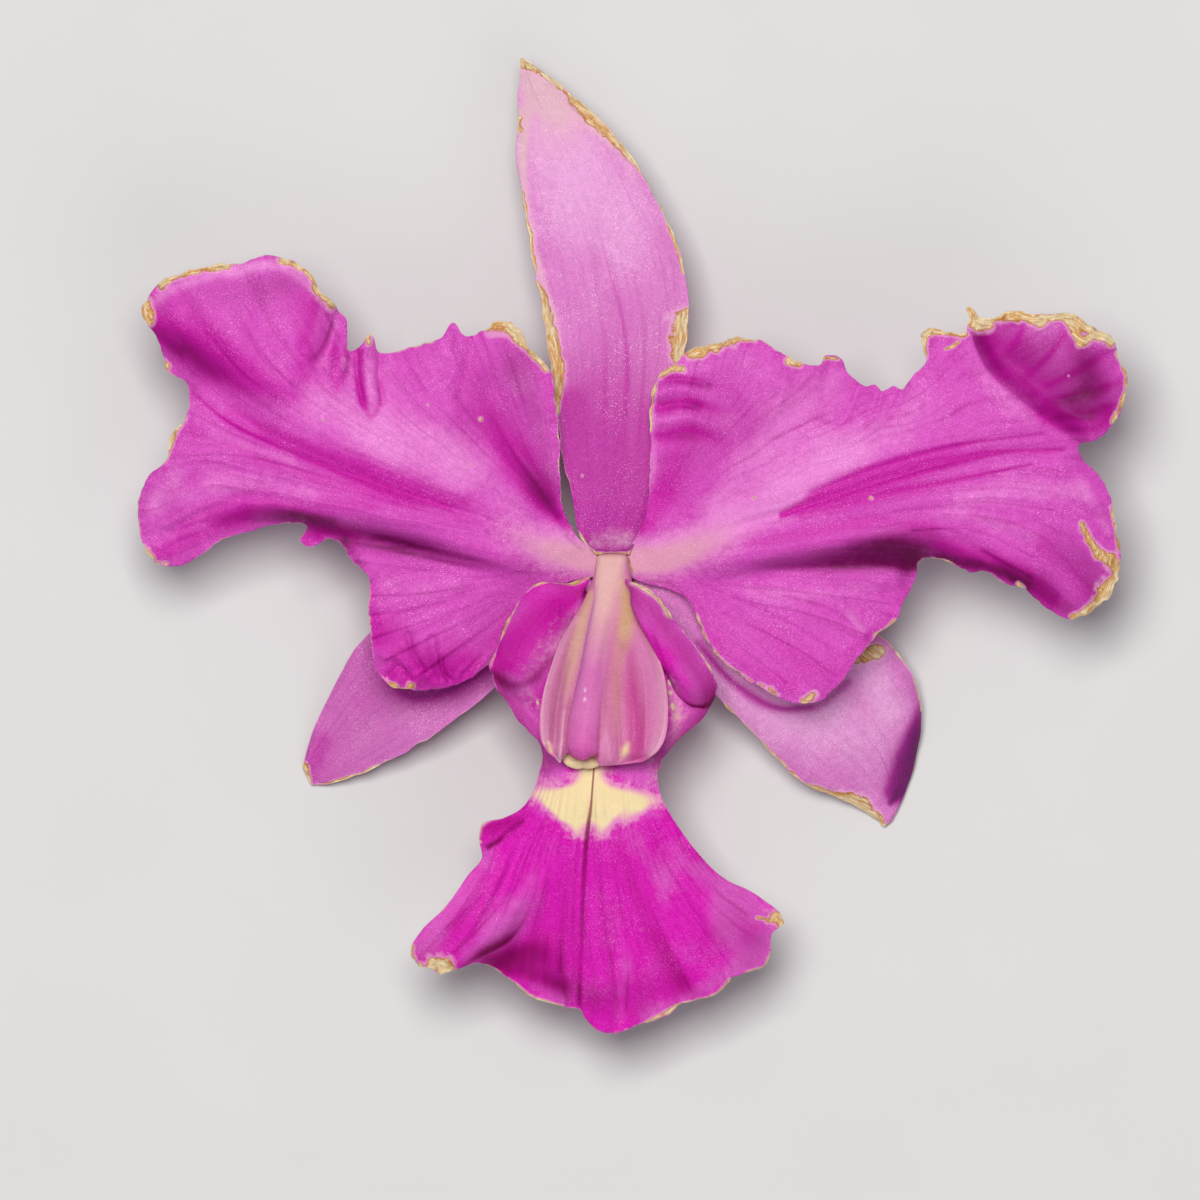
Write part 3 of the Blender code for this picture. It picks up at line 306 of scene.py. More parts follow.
# Painted strokes: a line, the width and the amount, each one number or several spread along the
# line. Most pale and deep strokes are the flower's own colour, but some pale ones are painted
# highlights on ridges and folds and some deep ones painted shade in folds; the dark strokes are
# mostly painted shade in folds, creases, grooves and under overlapping parts, the thinnest of them
# veins. A fourth value keeps the stroke to the line's left (1) or right (-1), as for the sharp edge
# of a painted shadow.
LEFT_PAINT = {
    "cream": [([(-1.4, -0.9), (-5, -0.1), (-9, 1.2), (-14.5, 3.6)], (1.6, 2.0, 2.0, 1.4),
               (1.3, 0.95, 0.5, 0.0))],
    "pale": [
        ([(-30, 15), (-22, 11), (-14, 8), (-8, 3), (-3, -0.5)], (3.0, 3.0, 2.6, 1.4, 1.2),
         (0.5, 0.8, 0.55, 0.25, 0.9)),
        ([(-7, -1.0), (-5, -0.8), (-2.4, -0.8)], (0.8, 1.0, 1.4), (0.5, 0.8, 1.0)),
        ([(-23, 17), (-19, 14), (-14, 9)], 3.0, 0.3), ([(-9.6, 19.5), (-7.4, 13), (-6.2, 8)], 1.4, 0.2),
        ([(-46.2, 24.6), (-43.4, 26.6), (-38, 28), (-33, 28.6), (-29.4, 26)], 0.7, 0.75),
        ([(-45, 5), (-38, 7), (-30, 5.8)], 1.6, 0.35),
        ([(-43, 0.6), (-46, 4), (-43.5, 8)], 1.0, 0.3),
        ([(-40, 11.5), (-36, 10.3), (-32, 8.9)], 0.8, 0.4),
        ([(-20, -5), (-17, -7), (-15, -9)], 2.6, 0.15),
        ([(-24.1, 20.6), (-24.2, 17), (-23.6, 15.4)], 0.5, 0.25),
        ([(-29, 18.6), (-28.2, 21), (-27.6, 23.4)], 0.7, 0.3),
        # A painted highlight: the wet glint on the first finger of the upper lobe.
        ([(-26.85, 19.2), (-26.8, 18.4)], 0.22, 1.6),
        ([(-12, -2.6), (-18, -3.4), (-23, -3.4)], 1.0, 0.2)],
    "deep": [
        ([(-38, 13.8), (-32, 11.0), (-28, 9.3), (-24, 7.7), (-20, 6.2), (-15, 4.9)],
         (0.9, 1.0, 1.3, 1.5, 1.2), (0.5, 0.9, 1.1, 1.1, 0.7)),
        ([(-42, 16), (-38, 12.8), (-32, 10.1), (-24, 6.9), (-16, 4.4)], 0.28, (0.5, 0.8, 0.9, 0.8, 0.4)),
        ([(-4.4, 2.6), (-7.6, 6.2), (-10, 9.6), (-12, 13), (-13, 17)], (0.7, 1.5, 1.8, 1.8, 1.8),
         (1.0, 1.0, 0.9, 0.6, 0.3)),
        ([(-23, -8), (-20, -10.8), (-15, -11.4)], 2.4, 0.6),
        ([(-46, 22.6), (-42, 21), (-37, 17.6), (-31, 15)], (1.6, 2.4, 2.0, 1.0), (0.9, 1.0, 0.9, 0.5)),
        ([(-44, 25), (-40, 22), (-36, 19)], 1.6, 0.3),
        ([(-30.4, 24.6), (-30.8, 21), (-31, 18)], 1.2, 0.6),
        ([(-42, 12), (-36, 9.8), (-28, 6.8), (-20, 4.6)], 0.9, 0.5),
        ([(-43, 3), (-38, 5), (-32, 4.9), (-24, 4.4)], (1.2, 1.2, 1.0, 0.8), 0.5),
        ([(-45.4, -0.4), (-41, 1.6), (-37, 3.4)], 1.2, 0.7),
        ([(-30.6, 1.2), (-28, 1.9), (-26, 1.0)], 0.8, 0.9),
        ([(-22, -12.4), (-19, -12.8), (-15, -12)], 1.3, 0.7), ([(-24, -4), (-23.6, -9)], 0.8, 0.4),
        ([(-12, -9.4), (-10, -6.6), (-7.6, -4.6)], 0.8, 0.4),
        ([(-25.2, 20), (-25.2, 17), (-24.8, 14.8)], 0.6, 0.7),
        ([(-25.2, 17), (-24.8, 14.6), (-24.0, 13.5), (-23.3, 14.6), (-23.2, 17)], 0.4, 0.5),
        ([(-27.6, 20.2), (-27.4, 17.8), (-27.6, 16.3)], 0.8, 0.7),
        ([(-14, 20), (-15, 16), (-15.5, 13)], 1.0, 0.3)],
    # Mostly painted shade: on the upper lobe's steep fold face and its pocket, in the valley beside the
    # claw, under the waist ridge and round the fingers; the thinnest strokes are veins and creases.
    "dark": [
        ([(-46.3, 22.7), (-43, 20.9), (-40, 18.5), (-36, 16.3)], (1.2, 1.8, 1.7, 1.0),
         (0.5, 0.6, 0.6, 0.2)),
        ([(-5.4, 3.6), (-8, 6.8), (-10.2, 10), (-11.6, 13)], (0.6, 1.2, 1.3, 1.2), (0.45, 0.5, 0.4, 0.2)),
        ([(-6, 6), (-7.5, 12), (-9, 18)], 2.2, 0.36),
        ([(-22.6, -8), (-20, -11), (-16, -11.8)], 1.8, 0.15),
        ([(-29.6, 24.6), (-29.2, 22), (-30.2, 19.6)], 1.1, (0.3, 0.34, 0.2)),
        ([(-44.4, 19.6), (-42, 17.6)], 1.2, 0.12),
        ([(-30.6, 27), (-34, 26.4), (-38, 25.8), (-41, 26)], 2.0, (0.3, 0.38, 0.3, 0.24)),
        ([(-10, 20), (-12.6, 17), (-14, 13)], 2.6, 0.26),
        ([(-12, -6), (-14.6, -9), (-17, -11)], 2.6, 0.26),
        ([(-15, -3.6), (-18, -4), (-21, -4)], 1.4, 0.18),
        ([(-40, 3.4), (-36, 4.1), (-32, 3.8), (-28, 3.0)], 0.75, (0.3, 0.55, 0.5, 0.3)),
        ([(-40, 2.4), (-36, 3.3), (-31, 2.9), (-27, 2.0), (-22, 1.0), (-15, -0.6), (-8, -2.3)],
         (0.5, 0.9, 1.3, 1.5, 1.3, 0.9, 0.3), (0.15, 0.4, 0.65, 0.75, 0.7, 0.45, 0.1)),
        ([(-26.4, 2.4), (-21.6, 1.1), (-16, -0.2), (-10, -1.7)], 0.3, (0.0, 0.25, 0.25, 0.1)),
        ([(-25.6, 0.9), (-20.4, -0.1), (-14.6, -1.4), (-10, -2.2)], 0.26, (0.1, 0.28, 0.25, 0.1)),
        ([(-25.8, -0.9), (-20.6, -1.6), (-14.6, -2.4)], 0.2, (0.2, 0.28, 0.1)),
        ([(-24.6, -4.4), (-19.6, -4.2), (-13.6, -3.4)], 0.14, (0.4, 0.35, 0.1)),
        ([(-24.4, -6.4), (-19.8, -5.6), (-13.4, -4.2)], 0.14, (0.4, 0.35, 0.1)),
        ([(-24, -8.6), (-19.6, -7.2), (-13.2, -5)], 0.14, (0.4, 0.35, 0.1)),
        ([(-22.6, -10.8), (-18.6, -8.8), (-12.4, -5.8)], 0.14, (0.4, 0.35, 0.1)),
        ([(-19.6, -12.6), (-16, -10), (-11, -6.4)], 0.14, (0.4, 0.35, 0.1)),
        ([(-26.8, 0.9), (-25, -1.6)], 0.6, 0.4),
        ([(-42, 16), (-38, 12.8), (-32, 10.1), (-24, 6.9), (-16, 4.4)], 0.16,
         (0.2, 0.36, 0.42, 0.32, 0.1)),
        ([(-44, 9.6), (-38, 9.7), (-31, 8.2), (-24, 5.9)], 0.15, (0.2, 0.4, 0.3, 0.1)),
        ([(-43, 14.4), (-37, 11.4), (-30, 8.8)], 0.14, (0.3, 0.4, 0.1)),
        ([(-40.4, 22), (-37.4, 18.4), (-33.4, 15.2)], 0.16, (0.1, 0.35, 0.2)),
        ([(-37.4, 24.6), (-35.4, 20), (-32.6, 16.4)], 0.15, (0.1, 0.3, 0.1)),
        ([(-29.3, 17.6), (-28.7, 15.4), (-27.6, 14.3), (-26.5, 15.4), (-26.2, 18)], 0.24,
         (0.0, 0.15, 0.22, 0.15, 0.0)),
        ([(-25.2, 17), (-24.8, 14.6), (-24.0, 13.5), (-23.3, 14.6), (-23.2, 16.6)], 0.3,
         (0.0, 0.12, 0.18, 0.1, 0.0)),
        ([(-27.9, 24.0), (-28.4, 22.2), (-29.4, 20.0), (-31.0, 18.8)], 0.6, (0.3, 0.5, 0.4, 0.0), 1),
        ([(-25.4, 20.2), (-25.3, 17), (-24.8, 14.6)], 0.4, (0.25, 0.3, 0.1)),
        ([(-23.3, 19), (-23.2, 16.4), (-23.2, 15)], 0.3, 0.12),
        ([(-26.4, 19.8), (-26.6, 18), (-27.0, 16.4)], 0.4, (0.5, 0.5, 0.1)),
        ([(-46.4, 22), (-43, 20.0)], 0.6, 0.2), ([(-44, 2.2), (-42.2, 2.7), (-40.6, 3.2)], 0.2, 0.25),
        ([(-45, 0.2), (-43.4, 1.2), (-41.6, 1.8)], 0.2, 0.25),
        ([(-20.3, -8.8), (-19.8, -10.4), (-18.9, -11.5)], 0.22, 0.18),
        ([(-21.8, -12.3), (-20.8, -12.0), (-20.1, -12.7)], 0.2, 0.2),
        ([(-17.0, -11.2), (-16.6, -12.3)], 0.2, 0.2),
        ([(-18.8, -12.6), (-17.8, -12.9)], 0.18, 0.18), ([(-14.8, -12.4), (-13.8, -11.7)], 0.2, 0.18),
        ([(-4.6, 1.6), (-3.0, 0.2)], 0.3, 0.3), ([(-9.6, -2.0), (-6, -2.0), (-4, -1.9)], 0.16, 0.3),
        ([(-2.4, -0.7), (-6, -0.4), (-9, 0.6)], 0.12, 0.16)],
    "dried": [
        ([(-46.7, 24.9), (-46.4, 23.2)], 0.5, 1.2),
        ([(-45, 26.6), (-43.6, 27.6), (-41, 28.2), (-38.5, 28.7)], 0.35, 1.2),
        ([(-33, 29.2), (-31.4, 28.6), (-30, 27.5)], 0.3, 1.0),
        ([(-29.4, 26.4), (-28.6, 25.6), (-28.0, 24.9)], 0.55, 1.3),
        ([(-44.9, 19.1), (-44.5, 18.6)], 0.3, 1.0),
        ([(-42.9, 13.4), (-43.8, 11.8), (-44.9, 9.4)], 0.32, 1.0),
        ([(-46.9, 0.6), (-46.1, -0.7)], 0.28, 1.0),
        ([(-12.0, 22.7), (-10.4, 22.5), (-9.4, 21.8), (-8.2, 20.3), (-6.5, 18.3)],
         (0.7, 0.6, 0.5, 0.35, 0.25), 1.3),
        ([(-24.5, 21.6), (-24.3, 20.9)], 0.28, 1.0), ([(-20.2, -13.4), (-20.0, -13.5)], 0.3, 1.0),
        ([(-22.9, -12.6), (-21.6, -13.4)], 0.18, 0.7), ([(-45.7, -1.1), (-44.6, -1.2)], 0.2, 0.8),
        ([(-3.2, 1.3), (-1.5, 0.0), (-1.6, -1.2), (-1.8, -2.4)], 0.1, 0.75)],
    "specks": [(-28.9, 13.2, 0.2), (-13.1, 13.3, 0.26), (-18.4, 14.7, 0.16), (-14.2, 8.8, 0.16),
               (-11.3, 4.9, 0.14)]}
RIGHT_PAINT = {
    "cream": [([(1.6, -0.9), (5.5, -0.6), (9.5, 0.9), (15.5, 4.0)], (1.6, 2.2, 2.2, 1.4),
               (1.3, 1.05, 0.7, 0.0))],
    "pale": [
        ([(2, -0.5), (8, 1), (15, 4.5), (22, 9), (30, 13)], (1.3, 1.8, 2.6, 3.0, 2.6),
         (1.2, 1.1, 1.0, 0.85, 0.4)),
        ([(10, 5), (14, 9), (18, 14), (22, 17)], (1.4, 2.2, 3.0, 2.4), 0.5),
        ([(4, 16), (4.2, 11), (4, 7)], 0.5, 0.5),
        # A painted highlight along the body's raised edge where it overlaps the flap.
        ([(35.0, 21), (36.4, 18), (39.2, 15.2), (43, 12.4)], 1.2, 0.35),
        ([(40, 20), (43, 20), (46, 19)], 2.6, 0.3),
        ([(35, 5.4), (41, 6.2), (47, 6)], 1.2, 0.45), ([(28, 3.0), (36, 3.4), (42, 1.4)], 1.1, 0.4),
        ([(5.6, 13.2), (8.4, 14.4), (11.6, 13.4)], 0.7, 0.3), ([(8, 19), (12, 19.6), (16, 18)], 1.4, 0.3),
        ([(14, -4), (20, -4.4), (26, -3.4)], 1.0, 0.3), ([(46.8, 7.0), (48.4, 4.6), (49.6, 2)], 0.7, 0.4),
        ([(24.9, -7.6), (23.8, -6.2)], 0.6, 0.6), ([(36.4, 22.4), (40, 22), (44, 22.4)], 0.8, 0.3)],
    "deep": [
        ([(17, 3.7), (20, 4.9), (24, 6.2), (28, 7.6), (33, 8.9), (38, 10)],
         (0.5, 0.9, 1.2, 1.2, 1.0, 0.8), (0.8, 1.1, 1.2, 1.1, 0.8, 0.4)),
        ([(20, 5.9), (26, 8.3), (30, 9.4), (35, 10.6)], 0.7, (0.5, 0.8, 0.8, 0.3)),
        ([(17, 3.7), (24, 6.1), (31, 8.2), (38, 9.9), (45, 10.2)], 0.28, (0.5, 0.9, 1.0, 0.9, 0.6)),
        ([(26, 8.3), (34, 10.6), (43, 11.8)], 0.24, (0.5, 0.7, 0.5)),
        ([(26, 5.6), (33, 6.9), (42, 8.8)], 0.22, 0.5),
        ([(19, 3.6), (27, 5.7), (33, 6.8), (40, 8.2)], 0.7, (0.5, 0.8, 0.5, 0.3)),
        ([(3.4, 2.6), (5, 5.4), (6.4, 8.6), (7.5, 11)], (0.8, 1.7, 1.7, 1.4), (1.0, 0.95, 0.6, 0.3)),
        ([(4.8, 14.4), (7.5, 14.9), (11.4, 13.8)], 0.7, (1.0, 1.1, 0.2)),
        ([(4.8, 11.5), (8, 12.0), (11.6, 10.8)], 0.8, (0.8, 1.0, 0.2)),
        ([(5.4, 17.3), (8, 17.2), (11, 16.4)], 0.6, (0.6, 0.7, 0.2)),
        ([(38, 22), (40.4, 18), (44, 14.6)], 1.8, 0.3),
        ([(10, 0.2), (18, 1.6), (26, 3.0), (32, 2.6)], (0.7, 0.9, 1.0, 1.0), 0.6),
        ([(41, 20.5), (40.6, 17.6), (42, 15.4)], 1.8, 0.3),
        ([(43.5, 13.6), (47, 12.6), (49.6, 13.4)], 1.0, 0.9),
        ([(46, 21), (48, 18), (48.5, 15)], 1.6, 0.2),
        ([(41.2, 17.4), (43.6, 19.6), (45.6, 22.4)], 0.35, (0.4, 0.7, 0.3)),
        ([(42.4, 16.2), (46, 17.8), (49.6, 20)], 0.35, (0.4, 0.8, 0.3)),
        ([(43.6, 15), (47, 15.6), (50.6, 17)], 0.4, (0.4, 0.8, 0.3)),
        ([(45, 13.6), (47.6, 13.6), (50.2, 14.8)], 0.4, (0.4, 0.8, 0.3)),
        ([(39.4, 19.6), (40.6, 21.4), (41.2, 23)], 0.35, (0.3, 0.6, 0.2)),
        ([(36.8, 23.6), (37.6, 21), (39, 18)], 0.9, 0.6),
        ([(44, -4.8), (41.6, -2.6), (38, -1), (33, 0.4)], 1.1, 0.7),
        ([(48, -4.6), (46, -2), (43, 0.6)], 1.2, 0.4),
        ([(16, -8), (20, -12), (22.6, -12)], 2.2, 0.45),
        ([(10.5, -8.6), (14, -11.6), (18, -13.6)], 0.8, 0.5),
        ([(29.6, -4), (27.6, -6.6), (24, -9.8)], 0.7, 0.4),
        ([(31.6, 18.6), (33.6, 16), (34, 14)], 0.8, 0.3)],
    # Mostly painted shade: in the groove under the midrib ridge, over the left part of the blade, on the
    # flap and along its fold lines; the thinnest strokes are veins and creases.
    "dark": [
        ([(8, -2.4), (15, -1.3), (20, -1.0), (27, -0.3), (31, -0.6), (36, -1.7)],
         (0.4, 0.7, 1.2, 1.7, 1.5, 0.8), (0.1, 0.25, 0.55, 0.9, 0.9, 0.4)),
        ([(12, -1.8), (20, -1.4), (28, -1.2), (31, -1.6)], 0.4, (0.0, 0.2, 0.3, 0.3)),
        ([(24, 0.9), (28, 1.3), (31, 1.4), (35, 0.3), (39, -1.7), (42, -3.2), (45.4, -5.6)],
         (0.8, 1.1, 1.2, 1.2, 1.4, 1.7, 1.4),
         (0.2, 0.5, 0.5, 0.36, 0.6, 0.8, 0.65)),
        ([(6, 7), (8.4, 10.4), (10.6, 14.6), (11.6, 17.6)], 3.4, (0.25, 0.34, 0.26, 0.2)),
        ([(14, 12), (17, 15), (21, 17)], 3.0, (0.22, 0.25, 0.18)),
        ([(8, -3.2), (15, -3.6), (22, -4.4), (28, -5.2)], 0.14, (0.1, 0.35, 0.4, 0.4)),
        ([(8, -3.8), (15, -5.2), (21, -6.6), (25.6, -8.4)], 0.14, (0.1, 0.35, 0.4, 0.4)),
        ([(8.4, -5), (14, -7.4), (19, -10), (22.4, -12.4)], 0.14, (0.1, 0.35, 0.4, 0.3)),
        ([(9, -6.6), (13, -9.6), (17.4, -13)], 0.14, (0.1, 0.3, 0.3)),
        ([(40.4, 21.5), (43.6, 18.5), (47.4, 15.2)], 4.2, (0.42, 0.5, 0.6)),
        ([(48.6, -4), (47, -1.4), (44, 1)], 2.0, (0.5, 0.42, 0.3)),
        ([(5.6, 17.4), (9.6, 16.6)], 0.5, 0.3), ([(5.2, 14.6), (8.6, 14.6)], 0.5, 0.35),
        ([(4.6, 11.6), (8.0, 11.7)], 0.5, 0.25), ([(2.4, 1.4), (3.6, 1.4), (5.6, 2.4)], 0.6, 0.2),
        ([(29.6, -1.2), (29, -3)], 0.9, 0.35), ([(33, -0.6), (38, -1.7), (41.4, -3.2)], 0.6, 0.4),
        ([(17, 3.7), (24, 6.1), (31, 8.2), (38, 9.9), (45, 10.2)], 0.15, (0.1, 0.22, 0.36, 0.4, 0.25)),
        ([(20, 6.1), (26, 8.3), (34, 10.6), (43, 11.8)], 0.14, (0.1, 0.25, 0.3, 0.1)),
        ([(26, 5.6), (33, 6.9), (42, 8.8)], 0.14, 0.4),
        ([(30, 4.2), (37, 5), (44, 4.2)], 0.13, 0.3), ([(30, 2.2), (36, 2.2), (42, -0.4)], 0.13, 0.35),
        ([(37, 0.2), (42, -2.6)], 0.16, 0.35),
        # A painted shadow on the flap, sharp at the edge of the body that overlaps it.
        ([(35.6, 23.2), (36.0, 21.2), (37.2, 18.5), (39.6, 16.0), (43.2, 13.3), (46.8, 10.8)],
         (1.2, 2.2, 3.2, 3.0, 2.2, 1.0), (0.6, 0.56, 0.32, 0.24, 0.2, 0.24), 1),
        ([(46.8, 20.6), (47.6, 18), (46.6, 15.4)], 1.8, (0.3, 0.36, 0.1)),
        ([(43.6, 15), (47, 15.6), (50.6, 17)], 0.5, (0.1, 0.15, 0.05)),
        ([(45, 13.6), (47.6, 13.6), (50.2, 14.8)], 0.5, (0.1, 0.18, 0.05)),
        ([(44.2, 13.3), (46.2, 12.3), (48.3, 12)], 0.45, (0.1, 0.2, 0)),
        ([(46, 3.2), (43, 4.6), (38, 5.3)], 0.14, 0.2), ([(49, 5), (44, 7.3), (38, 7.6)], 0.14, 0.2),
        ([(2.9, 2.0), (3.3, 4.6)], 0.3, 0.3), ([(3.4, -2.9), (6, -3.2), (8, -5.2)], 0.25, 0.4),
        ([(26.4, 14.8), (26.8, 16)], 0.2, 0.25), ([(28.2, 15), (28.7, 16.2)], 0.2, 0.25)],
    "dried": [
        ([(3.8, 12), (3.8, 14.2), (4.3, 16.8)], (0.15, 0.25, 0.3), 1.0),
        ([(4.8, 17.7), (6.2, 18.4), (7.2, 18.3)], 0.28, 1.2),
        ([(7.9, 19.9), (9.8, 20.4), (12, 21.1)], 0.5, 1.3), ([(12.5, 21.3), (14.4, 21.2)], 0.2, 1.0),
        ([(17.7, 19.2), (18.7, 18.7)], 0.35, 1.1), ([(31.1, 19.4), (31.1, 21.6)], 0.3, 1.2),
        ([(31.6, 22), (33.2, 22), (35.3, 21.7)], 0.32, 1.3),
        ([(33.3, 20.3), (34.0, 20.5), (34.6, 21)], 0.14, 1.1),
        ([(35.6, 24.4), (36.3, 22.8), (37.4, 22.7)], 0.55, 1.4),
        ([(38, 23.4), (40, 23.7), (42.6, 23.1)], 0.5, 1.4),
        ([(43, 23.3), (44.9, 23.4), (46.2, 22.2), (46.8, 20.9), (48, 21.6), (49.8, 21.3)], 0.4, 1.3),
        ([(44.6, 23.8), (46.8, 23), (48.4, 22.2), (49.8, 21.2)], 0.5, 1.3),
        ([(50.5, 19.8), (51.3, 17.5), (51.1, 15.4), (50, 13)], 0.2, 1.0),
        ([(46.9, 2.6), (47.7, 1.2), (48.8, -0.2)], 0.35, 1.2),
        ([(50, 4.6), (50.5, 2.2), (50.7, 0.4)], 0.22, 1.0),
        ([(48.6, -0.4), (50.1, -1.0), (50.4, -2.4), (49.5, -3.6), (49, -4.8), (47.5, -5.9), (46.1, -6.6)],
         (0.4, 0.6, 0.5, 0.7, 0.6, 0.4, 0.3), 1.4),
        ([(41.1, -3.6), (40.6, -3.2)], 0.2, 1.0),
        ([(14.8, -13.3), (15.7, -13.5), (16.5, -14.2)], 0.3, (0.5, 0.8, 0.5)),
        ([(19.3, -14.9), (20.3, -14.3)], 0.34, 0.75),
        ([(28.3, -6.9), (27.4, -7.8), (26.4, -8.4)], 0.2, 1.0),
        ([(8.4, -6.3), (9.6, -9), (11.4, -11.2), (14, -12.9)], 0.14, 0.9),
        ([(20.6, 18.9), (21.3, 19.4), (22.6, 19.3)], 0.16, 1.0),
        ([(1.5, 0.1), (1.75, -0.9), (2.2, -2.2)], 0.11, 0.75)],
    "specks": [(14.2, 5.4, 0.18), (25.9, 5.4, 0.24), (45.6, 17.6, 0.16)]}
# Veins: the share across the petal (0 midrib, 1 upper edge, -1 lower edge) and the line it keeps to.
LEFT_VEINS = [
    (0, [(-4, 0.2), (-8, 2.0), (-16, 4.6), (-24, 7.1), (-32, 10.3), (-38, 13.2), (-42, 16.5),
         (-46, 22.5)]),
    (1, [(-3.9, 2.0), (-4.9, 4.2), (-5.2, 8), (-5.5, 13), (-6.3, 18)]),
    (0.75, [(-5, 3.2), (-8, 8), (-11, 13.5), (-13, 18), (-14.3, 21.5)]),
    (0.5, [(-6, 3), (-12, 8), (-18, 13), (-22, 17), (-24.5, 21.8)]),
    (0.25, [(-7, 2.6), (-15, 7), (-24, 12), (-32, 18), (-36, 24), (-38, 28.6)]),
    (0.12, [(-20, 7.8), (-30, 12.5), (-38, 18.5), (-43, 24), (-45, 26.6)]),
    (-0.12, [(-24, 5.6), (-34, 8), (-42, 10), (-44, 9.5)]),
    (-0.25, [(-6, 0), (-14, 1.7), (-24, 3.8), (-32, 5.5), (-40, 6.5), (-46, 4)]),
    (-0.5, [(-5, -0.8), (-12, -1.8), (-20, -1.5), (-24.4, -3)]),
    (-0.65, [(-5, -1.3), (-12, -3.5), (-19, -5.5), (-24, -8)]),
    (-0.8, [(-4.5, -1.8), (-9, -4), (-15, -8), (-20, -12), (-21, -13.5)]),
    (-1, [(-3.5, -2.6), (-6.6, -4.6), (-9.5, -8), (-12.2, -11.2)])]
RIGHT_VEINS = [
    (0, [(4, 0.2), (9, 1.6), (17, 3.9), (24, 6.1), (31, 8.2), (38, 9.9), (45, 10.3)]),
    (0.12, [(12, 3.6), (20, 6.6), (28, 9.2), (34, 10.8), (40, 12.2), (47, 14)]),
    (0.25, [(6, 2.2), (12, 5.5), (20, 9.5), (28, 13), (36, 16.5), (44, 19), (48, 22)]),
    (0.4, [(10, 6), (18, 11.5), (26, 15), (32, 19), (34, 21.9)]),
    (0.5, [(5, 3), (9, 8), (15, 13), (21, 17), (22, 19)]),
    (0.75, [(4, 4), (7, 9.5), (10, 15), (12, 21)]),
    (1, [(3.1, 3), (3.7, 5.6), (3.85, 9), (3.85, 12), (4.1, 16.3)]),
    (-0.12, [(10, 0.9), (18, 2.8), (27, 5.2), (34, 6.6), (42, 7), (49, 5.5)]),
    (-0.25, [(8, 0.2), (16, 1.4), (26, 3.2), (34, 3.6), (42, 1.5), (48, -4)]),
    (-0.35, [(16, 0.4), (26, 1.4), (34, 0.6), (40, -2.4)]),
    (-0.5, [(6, -0.9), (14, -1.5), (22, -1.6), (28, -2), (30, -3)]),
    (-0.65, [(6, -1.6), (13, -3.6), (20, -5.6), (26.5, -8.3)]),
    (-0.8, [(6, -2.2), (11, -5.5), (16, -10), (20, -14)]),
    (-1, [(5, -3.4), (7.2, -4.4), (9.6, -9), (14, -13)])]
PETAL_MESH = 0.20             # distance between a petal's points
PETAL_HALF = 0.26             # half the tissue's thickness
EDGE_HALF = 0.11              # and at its free edge
ORCHID = (0.66, 0.058, 0.49)
ORCHID_PALE = (0.83, 0.24, 0.67)
ORCHID_DEEP = (0.60, 0.003, 0.38)
# The dark colour is painted shade in folds, creases and under overlapping parts; it also darkens the
# veins.
ORCHID_DARK = (0.13, 0.001, 0.06)
CLAW_BLUSH = (0.76, 0.25, 0.56)
CLAW_PINK = (0.76, 0.34, 0.47)
# Tint of the grain's lighter cells, partly a painted sparkle highlight.
ORCHID_SPARKLE_TINT = (1.0, 0.36, 0.88)
BLACK = (0.0, 0.0, 0.0)
GLINT = (1.0, 0.80, 0.96)     # a cell that catches the light
HUSK_BLUSH = (0.78, 0.42, 0.60)
HUSK_BROWN = (0.42, 0.14, 0.03)
HUSK_TAN = (0.55, 0.29, 0.09)
HUSK_BUFF = (0.60, 0.44, 0.24)
HUSK_STREAK_HIGHLIGHT = (0.84, 0.70, 0.48)
HUSK_CRACK = (0.30, 0.11, 0.04)
HUSK_WRINKLE_HIGHLIGHT = (0.93, 0.84, 0.64)
HUSK_EDGE = (0.88, 0.74, 0.50)
CLAW_LEVEL = 15.0             # height at which the petals join the column's foot
CLAW_REACH = 3.5              # distance over which a petal leaves that height
LATTICE_ROW = 0.866           # a triangle lattice's step from row to row, in gaps
EDGE_TAPER = 1.2              # distance over which tissue thins to its free edge
PETAL_FRAY = 0.16             # how far chance pushes the margin in and out
END_FADE = 0.16               # share of a line over which a fold or ridge grows at each end
STROKE_EDGE = 0.25            # width of the sharp side of a one-sided stroke
CLOUD_SHARE = 0.14            # how far the soft patches turn a petal paler or deeper
WAVE_SCALE = 230.0            # the chance patterns of the finish, per metre
MOTTLE_SCALE = 1400.0
FRECKLE_SCALE = 1900.0
CELL_SCALE = 7800.0
RAGGED_SCALE = 620.0
WRINKLE_SCALE = 2200.0
CELL_DEPTH = 0.00014          # relief of the cells, metres


def smooth(t):
    """t squared times three minus two t, held between 0 and 1."""
    t = np.clip(t, 0, 1)
    return t * t * (3 - 2 * t)


def through(points, k):
    """Cubic line through hand-set points, with slopes from their neighbours and steps as the root
    of the distance between them; k counts the points from 0."""
    p = np.asarray(points, float)
    shape = p.shape[1:]
    p = p.reshape(len(p), -1)
    step = np.sqrt(np.linalg.norm(np.diff(p, axis=0), axis=1)) + 1e-6
    knot = np.concatenate([[0], np.cumsum(step)])
    slope = np.gradient(p, knot, axis=0)
    k = np.asarray(k, float)
    i = np.clip(k.astype(int), 0, len(p) - 2)
    t = (k - i)[..., None]
    h = step[i][..., None]
    out = ((1 + 2 * t) * (1 - t) ** 2 * p[i] + t * (1 - t) ** 2 * h * slope[i]
           + t * t * (3 - 2 * t) * p[i + 1] + t * t * (t - 1) * h * slope[i + 1])
    return out.reshape(k.shape + shape)


def lengths(points):
    """Length of a line from its start to each of its points."""
    return np.concatenate([[0], np.cumsum(np.linalg.norm(np.diff(points, axis=0), axis=1))])


